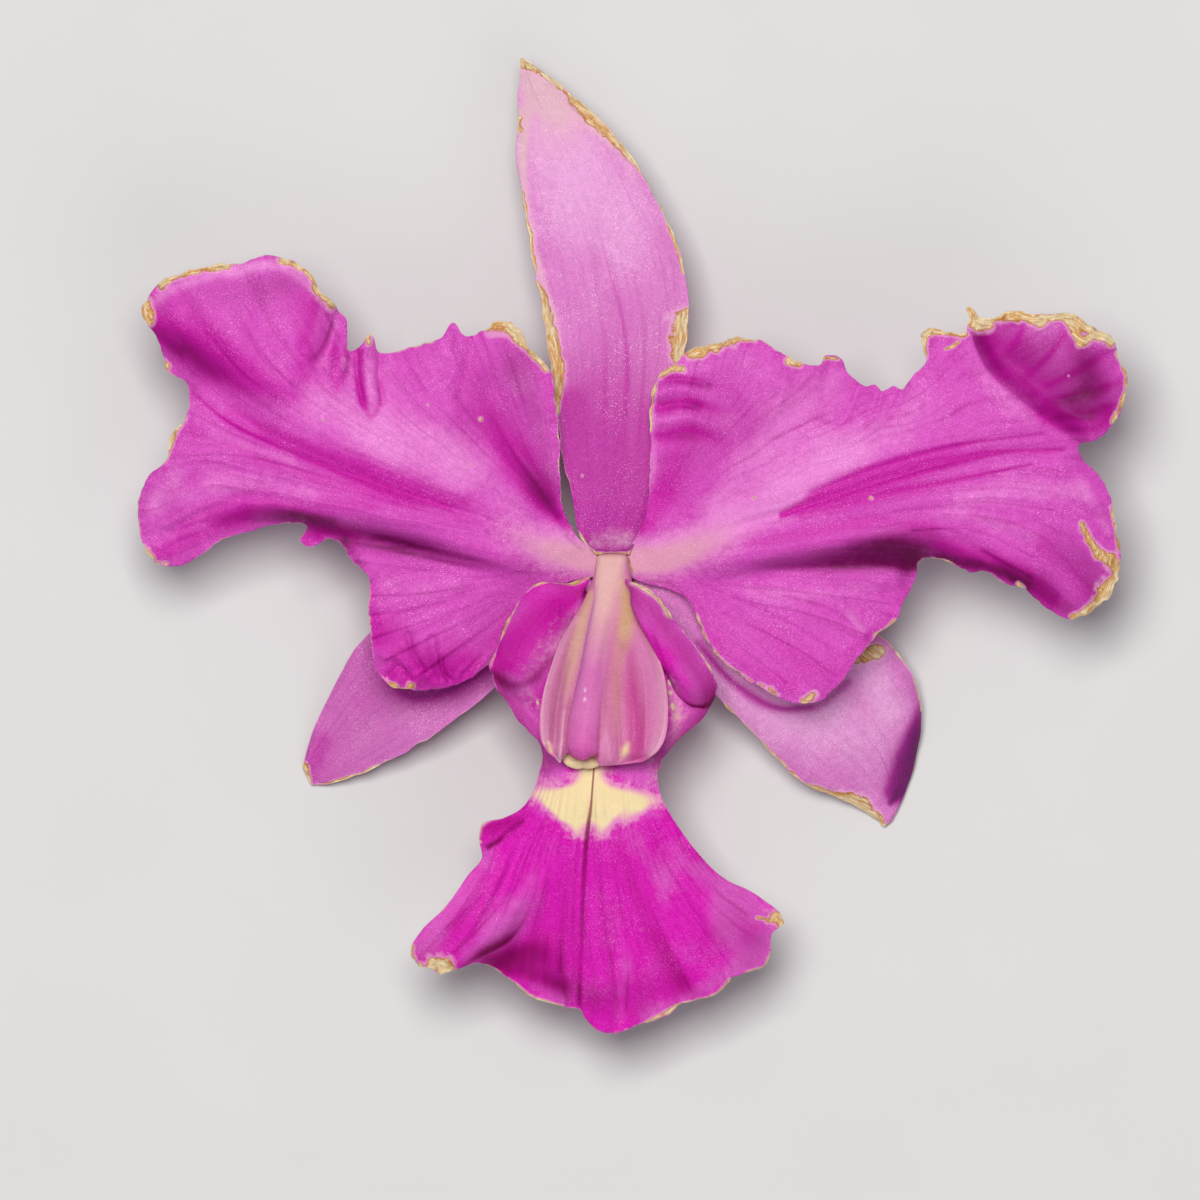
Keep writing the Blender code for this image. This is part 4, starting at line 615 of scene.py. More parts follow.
def along(points, f):
    """Point at the share f of a line's length."""
    fine = through(points, np.linspace(0, len(points) - 1, 24 * len(points)))
    s = lengths(fine)
    return np.stack([np.interp(f, s / s[-1], fine[:, c]) for c in range(fine.shape[1])], -1)


def beside(x, y, line):
    """Share of a line's length nearest to x, y and the distance, positive on the line's left."""
    p = along(line, np.linspace(0, 1, 19))
    best = np.full(np.shape(x), 1e9)
    share = np.zeros(np.shape(x))
    side = np.zeros(np.shape(x))
    for i in range(len(p) - 1):
        a = p[i]
        d = p[i + 1] - a
        t = np.clip(((x - a[0]) * d[0] + (y - a[1]) * d[1]) / (d @ d), 0, 1)
        rx = x - a[0] - t * d[0]
        ry = y - a[1] - t * d[1]
        r = rx * rx + ry * ry
        near = r < best
        best = np.where(near, r, best)
        share = np.where(near, (i + t) / (len(p) - 1), share)
        side = np.where(near, np.sign(d[0] * ry - d[1] * rx), side)
    return share, side * np.sqrt(best)


def spread(share, value):
    """One number, or several spread evenly along a line."""
    value = np.atleast_1d(value)
    return np.interp(share, np.linspace(0, 1, len(value)), value) if len(value) > 1 else value[0]


def strokes(x, y, marks):
    """Sum of bell-shaped strokes, amount times e to the minus (distance / width) squared, each cut
    off sharply at its line where a side is given."""
    total = np.zeros(np.shape(x))
    for line, width, amount, *side in marks:
        share, off = beside(x, y, line)
        value = spread(share, amount) * np.exp(-(off / spread(share, width)) ** 2)
        if side:
            value = value * smooth(0.5 + off * side[0] / STROKE_EDGE)
        total += value
    return total


def from_line(x, y, line, width, fade):
    """Distance from a line in widths, and a share that falls to 0 at both of the line's ends."""
    share, off = beside(x, y, line)
    return off / width, smooth(np.minimum(share, 1 - share) / (fade[0] if fade else END_FADE))


def relief(x, y, folds, ridges):
    """Folds rise on one side of a line and sink on the other (q times e to the (1 - q squared) / 2);
    ridges rise along it."""
    z = np.zeros(np.shape(x))
    for line, height, width, *fade in folds:
        q, grown = from_line(x, y, line, width, fade)
        z += height * grown * q * np.exp((1 - q * q) / 2)
    for line, width, height, *fade in ridges:
        q, grown = from_line(x, y, line, width, fade)
        z += height * grown * np.exp(-q * q)
    return z


def thin_plate(x, y, spots, slack=4.0):
    """Height of the smoothest sheet through the spots: a plane plus r squared log r for each."""
    s = np.asarray(spots, float)

    def kernel(r2):
        return r2 * np.log(r2 + 1e-9)

    n = len(s)
    r2 = (s[:, None, 0] - s[None, :, 0]) ** 2 + (s[:, None, 1] - s[None, :, 1]) ** 2
    a = np.zeros((n + 3, n + 3))
    a[:n, :n] = kernel(r2) + slack * np.eye(n)
    a[:n, n] = 1
    a[:n, n + 1:] = s[:, :2]
    a[n:, :n] = a[:n, n:].T
    w = np.linalg.solve(a, np.concatenate([s[:, 2], np.zeros(3)]))
    z = w[n] + w[n + 1] * x + w[n + 2] * y
    for i in range(n):
        z = z + w[i] * kernel((x - s[i, 0]) ** 2 + (y - s[i, 1]) ** 2)
    return z


def height(x, y, spots, folds, ridges):
    """The thin plate through the spots, with the folds and ridges added over it."""
    s = np.asarray(spots, float)
    s[:, 2] -= relief(s[:, 0], s[:, 1], folds, ridges)
    return thin_plate(x, y, s) + relief(x, y, folds, ridges)


def grain(x, y, seed):
    """Chance relief between -1 and 1: seeded values at whole x and y, eased between."""
    values = np.random.RandomState(seed).uniform(-1, 1, (257, 257))
    i = np.floor(x).astype(int)
    j = np.floor(y).astype(int)
    u = smooth(x - i)
    v = smooth(y - j)
    i0, i1, j0, j1 = i % 257, (i + 1) % 257, j % 257, (j + 1) % 257
    return ((values[i0, j0] * (1 - u) + values[i1, j0] * u) * (1 - v)
            + (values[i0, j1] * (1 - u) + values[i1, j1] * u) * v)


def free_edge(margin, seed, fray, torn, base=3.0):
    """The margin at even short steps, pushed in and out by fray times chance, more where it is torn
    and dry; its two ends, where the claw is, stay."""
    fine = through(margin, np.linspace(0, len(margin) - 1, 60 * len(margin)))
    s = lengths(fine)
    a = np.linspace(0, s[-1], int(s[-1] / PETAL_MESH))
    p = np.stack([np.interp(a, s, fine[:, c]) for c in (0, 1)], -1)
    d = np.gradient(p, axis=0)
    n = np.stack([d[:, 1], -d[:, 0]], -1) / np.linalg.norm(d, axis=1, keepdims=True)
    push = 0.6 * grain(a / 1.3, 0 * a, seed) + 0.4 * grain(a / 0.55, 0 * a + 7, seed)
    push *= smooth(np.minimum(a, s[-1] - a) / base - 0.5)
    ragged = fray * (1 + 1.2 * np.clip(strokes(p[:, 0], p[:, 1], torn), 0, 1))
    return p + n * (ragged * push)[:, None], a


def lattice(edge, gap):
    """Points of a triangle lattice inside the edge, none nearer to it than half the gap."""
    low = edge.min(0)
    high = edge.max(0)
    i, j = np.meshgrid(np.arange((high[0] - low[0]) / gap + 1),
                       np.arange((high[1] - low[1]) / gap / LATTICE_ROW + 1))
    p = np.stack([(low[0] + (i + (j % 2) * 0.5) * gap).ravel(),
                  (low[1] + j * gap * LATTICE_ROW).ravel()], -1)
    inside = np.zeros(len(p), bool)
    for a, b in zip(edge, np.roll(edge, -1, axis=0)):
        cross = (a[1] > p[:, 1]) != (b[1] > p[:, 1])
        rise = (b[1] - a[1]) or 1e-9
        inside ^= cross & (p[:, 0] < (b[0] - a[0]) * (p[:, 1] - a[1]) / rise + a[0])
    p = p[inside]
    near, _ = to_edge(p, edge)
    return p[near > 0.5 * gap]


def to_edge(p, edge):
    """Distance to the nearest point of the edge, and that point's number."""
    best = np.full(len(p), 1e9)
    which = np.zeros(len(p), int)
    for k, q in enumerate(edge):
        r = (p[:, 0] - q[0]) ** 2 + (p[:, 1] - q[1]) ** 2
        near = r < best
        best[near] = r[near]
        which[near] = k
    return np.sqrt(best), which


def facts_at(across, run, rim, paint, dried, **others):
    """Values kept at each point for its finish. flow holds the place across the petal, the distance
    along it and the distance to its free edge; paint holds the pale, deep and dark shares, the dark
    one mostly painted shade and the pale one with a few painted highlights."""
    facts = {"flow": np.stack([across, run, rim], -1).reshape(-1, 3), "paint": paint.reshape(-1, 3),
             "dried": dried.ravel()}
    facts.update({key: value.ravel() for key, value in others.items()})
    return facts


def tapered(half, rim, edge=EDGE_HALF, taper=EDGE_TAPER):
    """Half the tissue's thickness, less near its free edge."""
    return edge + (half - edge) * smooth(rim / taper)


def leaf(name, sheet, half, tris, facts, finish):
    """Closed leaf round a sheet of points in mm: both faces lie half its thickness to a side of
    it, and a strip closes its free edge. facts are values kept at each point for its finish."""
    n = len(sheet)
    up = np.cross(sheet[tris[:, 1]] - sheet[tris[:, 0]], sheet[tris[:, 2]] - sheet[tris[:, 0]])
    if (up * half[tris[:, 0]]).sum() < 0:
        tris = tris[:, ::-1]
    ends = np.concatenate([tris[:, [0, 1]], tris[:, [1, 2]], tris[:, [2, 0]]])
    order = np.sort(ends, axis=1)
    _, first, count = np.unique(order[:, 0] * n + order[:, 1], return_index=True, return_counts=True)
    rim = ends[first[count == 1]]
    faces = np.concatenate([tris, tris[:, ::-1] + n,
                            np.stack([rim[:, 1], rim[:, 0], rim[:, 0] + n], -1),
                            np.stack([rim[:, 1], rim[:, 0] + n, rim[:, 1] + n], -1)])
    points = np.concatenate([sheet + half, sheet - half])
    return body(name, points, faces, {k: np.concatenate([v, v]) for k, v in facts.items()}, finish)


def body(name, points, faces, facts, finish):
    """A piece from points in mm and triangles, with its facts and finish, put under the root body; the
    CAD node of its name is hidden.
    """
    mesh = bpy.data.meshes.new(name)
    mesh.from_pydata(((points + np.array(FLOWER_CENTRE + (0.0,))) * MM).tolist(), [], faces.tolist())
    for key, value in facts.items():
        kind = "FLOAT_VECTOR" if value.ndim == 2 else "FLOAT"
        layer = mesh.attributes.new(key, kind, "POINT")
        layer.data.foreach_set("vector" if value.ndim == 2 else "value", value.astype(np.float32).ravel())
    mesh.shade_smooth()
    mesh.materials.append(finish.material)
    piece = bpy.data.objects.new(name + "_tissue", mesh)
    bpy.context.scene.collection.objects.link(piece)
    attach(piece, "root")
    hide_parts(name)
    return piece


def crumple(x, y, dried, seed):
    """Height of the papery wrinkles where the tissue has dried."""
    rough = 0.6 * grain(x / 0.8, y / 0.8, seed) + 0.5 * grain(x / 0.47 + 9, y / 0.47, seed + 1)
    return 0.3 * rough * smooth(dried / 0.8)


def painted(x, y, paint, seed):
    """The painted strokes as (pale, deep, dark), with soft chance patches, and the dried share."""
    pale, deep, dark, dried = (strokes(x, y, paint.get(k, [])) for k in ("pale", "deep", "dark", "dried"))
    cloud = 0.5 * grain(x / 5.0, y / 5.0, seed) + 0.3 * grain(x / 1.9, y / 1.9, seed + 1)
    pale = pale + CLOUD_SHARE * cloud
    dark = dark * (1 + 0.25 * cloud)
    # The dark share is mostly painted shade; part of it also goes into the deep share, so the painted
    # shade stays saturated.
    deep = deep + 0.6 * dark - CLOUD_SHARE * cloud
    dried = 0.8 * np.sqrt(dried)
    for sx, sy, r in paint.get("specks", []):
        dried = np.maximum(dried, 0.75 * np.exp(-((x - sx) ** 2 + (y - sy) ** 2) / r ** 2))
    return np.clip(np.stack([pale, deep, dark], -1), 0, 1.2), np.clip(dried, 0, 1.5)


def husk_colour(f, dried, rim, wave, at):
    """The papery dried margin: brown where it meets the live tissue, then tan, with pale straw streaks
    along the edge that are painted highlights on the rolled paper, dark cracks, painted highlights on
    the wrinkles and a pale outer edge."""
    streak = f.noise(f.joined(rim * 4.5, f.attribute("along") * 0.6, 3.0), 1.0, 3.0, 0.6)
    wrinkle = f.noise(at, WRINKLE_SCALE, 1.0, 0.7)
    tan = f.mix(wave.band(0.40, 0.60), HUSK_TAN, HUSK_BUFF)
    husk = f.mix(dried.band(0.48, 0.80), HUSK_BROWN, tan)
    # Painted highlights on the streaks of the rolled dried margin.
    husk = f.mix(streak.band(0.46, 0.64) * dried.band(0.52, 0.80) * 0.7, husk, HUSK_STREAK_HIGHLIGHT)
    husk = f.mix((1.0 - streak.band(0.33, 0.43)) * 0.7, husk, HUSK_CRACK)
    # Painted highlights on the wrinkles.
    husk = f.mix(wrinkle.band(0.54, 0.70) * 0.25, husk, HUSK_WRINKLE_HIGHLIGHT)
    return f.mix((1.0 - rim.band(0.05, 0.18)) * 0.35, husk, HUSK_EDGE)


def tissue(name, ground, pale, deep, dark, veins=1.0, sparkle=1.0, throat=None, freckles=0.3,
           midline=None, gloss=0.5, sparkle_tint=ORCHID_SPARKLE_TINT, shine=0.12, fade=(0.02, 0.95), clouds=0.7):
    """Waxy petal tissue: a ground colour turned by the painted shares, the dark one mostly painted
    shade, forking veins along the petal, chance mottling with its lighter cells turned towards the
    sparkle tint, glittering cells painted as highlights, and the dried margin. veins, sparkle,
    freckles, shine and clouds are strengths; throat is the rim and heart colour of the cream marks,
    and fade the cream share over which they come in."""
    f = Finish(name)
    at = f.place()
    across, run, rim = f.parts(f.attribute("flow", "Vector"))
    share_pale, share_deep, share_dark = f.parts(f.attribute("paint", "Vector"))
    fibre = f.noise(f.joined(across * 34.0, run * 0.12, 0.0), 1.0, 2.0, 0.6)
    patch = f.noise(f.joined(across * 11.0, run * 0.11, 7.0), 1.0, 1.0, 0.5)
    wave = f.noise(at, WAVE_SCALE, 2.0, 0.55)
    mottle = f.noise(at, MOTTLE_SCALE, 2.0, 0.75)
    cells = f.noise(at, CELL_SCALE, 1.0, 0.6)

    def lines(count, width, share):
        near = (across * count + (wave - 0.5) * 0.5).maths("PINGPONG", 0.5)
        return (1.0 - near.band(0.0, width)) * share

    wobble = (mottle - 0.5) * 0.6 + (fibre - 0.5) * 0.4
    if ground is None:
        colour = f.attribute("tint", "Color")
    else:
        colour = f.mix((share_pale + wobble * 0.5 + (wave - 0.5) * clouds).band(0.0, 1.0), ground, pale)
    colour = f.mix((share_deep + wobble * 0.4).band(0.02, 1.05), colour, deep)
    vein = (lines(14.0, 0.20, patch.band(0.38, 0.56)) * 0.5
            + lines(33.0, 0.28, fibre.band(0.44, 0.60)) * 0.45)
    vein = (vein + fibre.band(0.50, 0.72) * 0.35) * (1.0 - share_pale.band(0.2, 1.0) * 0.7)
    vein = vein * (run.band(4.0, 22.0) * 0.7 + 0.3)
    colour = f.mix(vein * (0.6 * veins), colour, f.mix(0.3, deep, dark))
    calm = 1.0
    if throat:
        share = f.attribute("cream")
        dots = f.noise(at, FRECKLE_SCALE, 1.0, 0.5).band(0.56, 0.66) * share.band(0.02, 0.25)
        speckle = ((mottle - 0.5) * 2.4 + (wave - 0.5) * 1.5) * share.band(0.0, 0.3)
        near = (share + speckle * (1.0 - share.band(0.5, 0.95)) * freckles).band(*fade)
        near = (near + dots * freckles * (1.0 - near)) * 0.96
        colour = f.mix(near, colour, f.mix(share.band(0.45, 1.0), throat[0], throat[1]))
        calm = 1.0 - near * 0.5
    if midline:
        colour = f.mix(f.attribute("midline").band(0.2, 0.9) * 0.85, colour, midline)
    colour = f.mix((share_dark + wobble * share_dark).band(0.0, 1.15), colour, dark)
    # 1 where no shade is painted, less where it is; it holds back the painted sparkle and glints.
    lit = 1.0 - (share_dark + share_deep * 0.35).band(0.0, 1.1)
    # Granular grain: darker cells turned towards black, lighter ones towards the sparkle tint, which is
    # partly a painted sparkle highlight.
    shade = (mottle.band(0.32, 0.68) - 0.5) * 0.30 + (cells.band(0.32, 0.68) - 0.5) * 0.55
    shade = shade * (0.35 + 0.65 * min(sparkle, 1.0)) * calm
    colour = f.mix(0.5 + shade, f.mix(0.26, colour, BLACK), f.mix(lit * 0.12, colour, sparkle_tint))
    # Glints: painted highlights on the glittering cells.
    glint = cells.band(0.60, 0.76) * (0.07 + wave.band(0.42, 0.62) * 0.27)
    colour = f.mix(glint * lit * sparkle, colour, GLINT)
    dry = f.attribute("dried")
    ragged = f.noise(at, RAGGED_SCALE, 2.0, 0.75)
    dried = dry + (ragged - 0.5) * dry.band(0.02, 0.35) * 1.5
    skin = dried.band(0.44, 0.56)
    colour = f.mix(dried.band(0.08, 0.42) * 0.5, colour, HUSK_BLUSH)
    colour = f.mix(skin, colour, husk_colour(f, dried, rim, wave, at))
    tilt = f.bump(cells * 0.5 + fibre * (0.7 * veins), 0.5, CELL_DEPTH)
    f.feed(Base_Color=colour, Roughness=gloss + (mottle - 0.5) * 0.3 + skin * 0.2, Normal=tilt,
           Specular_IOR_Level=shine)
    return f


def petal(name, margin, spots, folds, ridges, creases, veins, paint, seed):
    """A petal: height over x and y on a fine lattice trimmed to the frayed margin, with creases,
    ripples along the veins and a ruffle that grows towards the free edge. Its thickness is set
    upright, so it is made larger where the sheet is steep."""
    edge, place = free_edge(margin, seed, PETAL_FRAY, paint["dried"])
    inner = lattice(edge, PETAL_MESH)
    points = np.concatenate([edge, inner])
    made = delaunay_2d_cdt([Vector(q) for q in points.tolist()], [], [list(range(len(edge)))], 1, 1e-6)
    x, y = np.array([tuple(q) for q in made[0]]).T
    tris = np.array(made[2])
    rim, nearest = to_edge(np.stack([x, y], -1), edge)
    claw = np.array(margin[0]) / 2 + np.array(margin[-1]) / 2
    reach = np.hypot(x - claw[0], y - claw[1])
    spots_of_veins = [(px, py, share) for share, line in veins
                      for px, py in along(line, np.linspace(0, 1, 7))]
    across = thin_plate(x, y, spots_of_veins, 0.5)

    def level(x, y):
        z = height(x, y, spots, folds, ridges) + strokes(x, y, creases)
        return z + (CLAW_LEVEL - z) * (1 - smooth(np.hypot(x - claw[0], y - claw[1]) / CLAW_REACH))

    z = level(x, y)
    step = 0.1
    slope = np.hypot(level(x + step, y) - z, level(x, y + step) - z) / step
    grown = smooth((reach - 3) / 16)
    z += grown * (0.09 * grain(across * 22, reach / 26, seed + 2)
                  + 0.05 * grain(across * 50, reach / 18, seed + 3))
    arc = place[nearest]
    ruffle = 0.34 * grain(arc / 1.7, rim / 6, seed + 4) + 0.2 * grain(arc / 0.7, rim / 3, seed + 5)
    z += grown * np.exp(-rim / 1.3) * ruffle
    shares, dried = painted(x, y, paint, seed + 6)
    thin = (np.exp(-rim / 0.10) * smooth((reach - 4) / 6)
            * (0.32 + 0.3 * grain(arc / 2.6, 0 * arc, seed + 7)))
    dried = np.maximum(dried, thin)
    z += crumple(x, y, dried, seed + 8)
    half = np.zeros((len(x), 3))
    half[:, 2] = tapered(PETAL_HALF, rim) * np.minimum(np.hypot(1, slope), 2.0)
    facts = facts_at(across, reach, rim, shares, dried, cream=strokes(x, y, paint["cream"]), along=arc)
    finish = tissue(name + "_finish", ORCHID, ORCHID_PALE, ORCHID_DEEP, ORCHID_DARK,
                    throat=(CLAW_BLUSH, CLAW_PINK))
    leaf(name, np.stack([x, y, z], -1), half, tris, facts, finish)


petal("left_petal", LEFT_MARGIN, LEFT_HEIGHTS, LEFT_FOLDS, LEFT_RIDGES, LEFT_CREASES, LEFT_VEINS,
      LEFT_PAINT, 11)
petal("right_petal", RIGHT_MARGIN, RIGHT_HEIGHTS, RIGHT_FOLDS, RIGHT_RIDGES, RIGHT_CREASES, RIGHT_VEINS,
      RIGHT_PAINT, 31)

# Sepals: three narrow outer blades behind the petals, paler and more glittering than they are. The
# upper one stands straight up the picture; the lower two hang to the surface and carry the flower.
# Each is steps from claw to tip, with its left edge, its right edge and its height.
DORSAL = [
    ((-1.6, -0.25), (1.7, -0.25), 15.8), ((-3.1, 1.5), (2.6, 1.5), 14.8),
    ((-3.9, 5), (3.9, 5), 13.7), ((-5.0, 10), (5.2, 10), 13.4), ((-5.7, 15), (6.4, 15), 13.2),
    ((-6.3, 20), (7.3, 20), 12.8), ((-7.1, 25), (7.6, 25.4), 12.3), ((-8.1, 30), (6.7, 30.4), 11.6),
    ((-8.9, 35), (4.2, 35.7), 10.8), ((-9.5, 39.5), (1.4, 40.4), 9.8),
    ((-9.5, 43.2), (-1.9, 43.9), 8.9), ((-9.3, 46.5), (-5.2, 46.9), 8.0),
    ((-9.2, 49.5), (-8.9, 49.6), 7.3)]
LOWER_LEFT = [
    ((-2.9, -1.6), (-1.0, -4.2), 13.4), ((-6.2, -0.6), (-4.2, -6.8), 12.8),
    ((-12.0, -1.2), (-8.0, -10.4), 11.2), ((-18.0, -3.2), (-12.6, -14.4), 8.9),
    ((-22.6, -6.2), (-17.6, -18.1), 6.4), ((-26.2, -10.4), (-22.6, -21.1), 3.9),
    ((-28.8, -15.1), (-26.4, -22.7), 1.9), ((-30.4, -18.9), (-28.6, -23.3), 0.9),
    ((-31.1, -21.6), (-30.2, -23.4), 0.5)]
LOWER_RIGHT = [
    ((1.2, -4.3), (3.1, -1.6), 13.4), ((4.4, -6.9), (7.0, -0.6), 12.8),
    ((7.4, -11.0), (13.5, -1.2), 11.4), ((11.4, -15.3), (20.0, -3.4), 9.4),
    ((15.6, -19.6), (26.0, -7.4), 7.0), ((19.0, -23.0), (29.9, -11.8), 4.8),
    ((22.4, -24.4), (31.1, -15.8), 3.0), ((25.2, -25.8), (30.6, -20.2), 1.5),
    ((26.8, -27.1), (29.6, -23.8), 0.7), ((27.4, -27.6), (28.1, -27.0), 0.5)]
SEPAL_HALF = 0.3
SEPAL_EDGE_HALF = 0.12
SEPAL_TAPER = 1.0
SEPAL_FRAY = 0.12
SURFACE_GAP = 0.02            # the lowest tissue stays this far above the surface
LILAC = (0.70, 0.20, 0.56)
LILAC_PALE = (0.82, 0.38, 0.70)
LILAC_DEEP = (0.50, 0.022, 0.34)
# The dark colour is painted shade on the sepals, where they roll back or lie under the petals; it also
# darkens the veins.
LILAC_DARK = (0.16, 0.015, 0.13)
SEPAL_BLUSH = (0.80, 0.40, 0.60)
SEPAL_CREAM = (0.76, 0.47, 0.53)
DORSAL_PAINT = {
    "cream": [([(-1.6, 0.9), (0.2, 1.1), (1.8, 1.1)], (0.9, 1.3, 0.9), 0.42),
              ([(-8.9, 49), (-7.6, 46), (-6, 43.6), (-4.6, 38.0)], (1.0, 2.4, 3.8, 4.4),
               (0.95, 0.92, 0.6, 0.05)),
              ([(-8.8, 44), (-9.0, 39), (-8.6, 34), (-7.4, 28.6), (-5.8, 23), (-4.8, 18)], 0.6,
               (0.9, 0.8, 0.8, 0.7, 0.6, 0)),
              ([(-3.4, 44.4), (-0.6, 41.4), (1.4, 39), (3.2, 35.6)], 0.5, (0.6, 0.6, 0.4, 0.2)),
              ([(-6.6, 46.4), (-4.4, 44.4), (-2.4, 42.4)], 1.8, (0.4, 0.35, 0.2))],
    "pale": [([(-7, 46), (-3.5, 38), (-1, 33), (0, 26)], (3, 5, 6, 6), (1.1, 1.15, 0.75, 0.1)),
             ([(0.4, 5), (0.6, 1.4)], 1.4, (0.2, 0.8))],
    "deep": [([(-1.5, 30), (0, 20), (-0.2, 11), (-0.6, 3)], (6, 7, 6, 5), (0.0, 0.4, 0.95, 1.2)),
             ([(-4.2, 15), (-3.6, 8), (-3, 3)], 1.2, 0.5),
             ([(4.4, 14), (4, 8), (2.6, 2)], 1.4, 0.5),
             ([(-5.6, 43), (-2.2, 34), (1.4, 21.4), (0.8, 8), (0.3, 2)], 0.22,
              (0.15, 0.25, 0.4, 0.5, 0.3)),
             ([(-3.4, 34), (-0.8, 22), (-0.8, 10)], 0.18, 0.2),
             ([(0.6, 34), (3.2, 22), (2.6, 10)], 0.18, 0.2)],
    "dark": [([(-8.8, 48.8), (-8, 46.4), (-7, 44.4)], 0.14, 0.3),
             ([(-3.2, 1.6), (-1.8, 0.1), (1.6, 0.1), (2.6, 1.6)], 0.25, 0.5),
             ([(0, 13), (0, 3)], 3.0, (0, 0.16)), ([(-5, 24), (-3.8, 17), (-3, 9)], 3.0, (0.0, 0.2, 0.1)),
             ([(-2.6, 1.1), (0, 0.7), (2.6, 1.1)], 1.0, 0.22)],
    "dried": [([(-9, 49.2), (-7.5, 48.3), (-5.2, 46.7), (-3.6, 45.2)], (0.5, 0.3, 0.25, 0.3), 1.2),
              ([(-3.7, 45.1), (-2.2, 43.9), (-0.4, 42.3), (1.2, 40.6), (2.4, 39)],
               (0.2, 0.55, 0.7, 0.5, 0.2), 1.5),
              ([(2.4, 39), (4.4, 35.7), (6.0, 32), (7.2, 28)], 0.16, 1.0),
              ([(-9.4, 43.4), (-9.3, 42.4)], 0.3, 1.2),
              ([(-9, 36), (-8.4, 32), (-7.7, 28)], (0.22, 0.3, 0.2), 1.1),
              ([(-7.6, 27), (-6.8, 24.6), (-6, 21), (-5.5, 18), (-5.6, 14)], (0.25, 0.45, 0.55, 0.6, 0.2),
               1.5),
              ([(6.9, 23.1), (6.9, 21), (7.0, 19.6)], (0.9, 0.8, 0.7), 1.6),
              ([(-3.5, 2.1), (-2.0, 0.0), (0, -0.3), (2.0, 0.0), (3.0, 2.1)], 0.13,
               (0.3, 0.8, 1.0, 0.8, 0.3))],
    "specks": [(-3.0, 7.6, 0.13), (-7.2, 43.6, 0.1)]}
LOWER_LEFT_PAINT = {
    "pale": [([(-29, -20), (-22, -15.5), (-14, -11)], 2.5, (0.2, 0.4, 0.3))],
    "deep": [([(-29.5, -20), (-22, -13), (-12, -7)], 8.0, 0.5),
             # A painted shadow of the left petal's lower edge across the sepal.
             ([(-24, -10), (-20, -14.2), (-15, -13.4), (-11, -10.4)], (0.8, 1.4, 1.3, 1.2),
              (0.2, 0.5, 0.5, 0.4)),
             ([(-30.5, -22.4), (-29, -19)], 1.0, 0.3)],
    # A painted shadow of the left petal's lower edge.
    "dark": [([(-22.6, -12.6), (-20, -14.4), (-16.6, -14), (-12.6, -11.6)], 0.45, (0.1, 0.4, 0.4, 0.3))],
    "dried": [([(-31.1, -21.6), (-30.6, -23.2)], 0.4, 1.2),
              ([(-30, -23.5), (-26.4, -22.7), (-22.6, -21.1)], 0.14, 0.9)]}
LOWER_RIGHT_PAINT = {
    "cream": [([(20, -23.4), (24, -24.6), (26.6, -26.6)], 0.6, 0.5)],
    "pale": [([(10, -12), (17, -16), (24, -17), (26, -22)], 4.5, (0.5, 0.8, 0.7, 0.3)),
             # Painted light, lifting the right petal's shadow on the sepal.
             ([(22.6, -9), (26, -12), (28, -15.4)], 2.0, 0.7)],
    # Deep and dark: painted shade on the rolled-back right side, and a painted shadow of the right
    # petal's lower edge.
    "deep": [([(30.4, -13), (30.4, -17), (29.6, -21), (28.4, -24)], (0.6, 1.0, 1.4, 1.2),
              (0.2, 0.5, 0.9, 0.9)),
             ([(8.6, -9), (11.6, -12.6), (16, -15.4), (20.4, -15.4), (23.6, -13)],
              (0.5, 0.6, 0.7, 0.7, 0.5), 0.75)],
    "dark": [([(31, -15.5), (30.6, -18.5), (30.0, -21), (28.8, -23.8)], (0.6, 1.4, 2.0, 1.5),
              (0.5, 1.05, 1.1, 1.0)),
             ([(28.8, -23.9), (27.9, -25.2)], 0.3, 0.5),
             ([(9.2, -9.8), (12, -12.8), (16.4, -15.5), (20, -15.4)], 0.25, 0.35)],
    "dried": [([(19.4, -23.3), (22.6, -24.5), (24.8, -25.2), (26.2, -26.3), (27.4, -27.5)],
               (0.2, 0.35, 0.6, 0.6, 0.3), 1.4),
              ([(23.8, -10.6), (25.4, -10.3), (26.8, -9.8)], (0.4, 0.65, 0.5), 1.6),
              ([(11.4, -15.3), (15.6, -19.6), (19, -23)], 0.12, 0.8),
              ([(26, -7.4), (29.9, -11.8), (31.1, -15.8)], 0.1, 0.7)]}


def grid_tris(nu, nv):
    """Two triangles for each cell of a grid of nu by nv points."""
    k = np.arange(nu * nv).reshape(nu, nv)
    p, q, r, t = k[:-1, :-1].ravel(), k[1:, :-1].ravel(), k[:-1, 1:].ravel(), k[1:, 1:].ravel()
    return np.concatenate([np.stack([p, q, t], -1), np.stack([p, t, r], -1)])


def normals(p):
    """Unit normals of a grid sheet, turned upwards as a whole."""
    n = np.cross(np.gradient(p, axis=0), np.gradient(p, axis=1))
    n /= np.linalg.norm(n, axis=-1, keepdims=True) + 1e-12
    return -n if n[..., 2].mean() < 0 else n


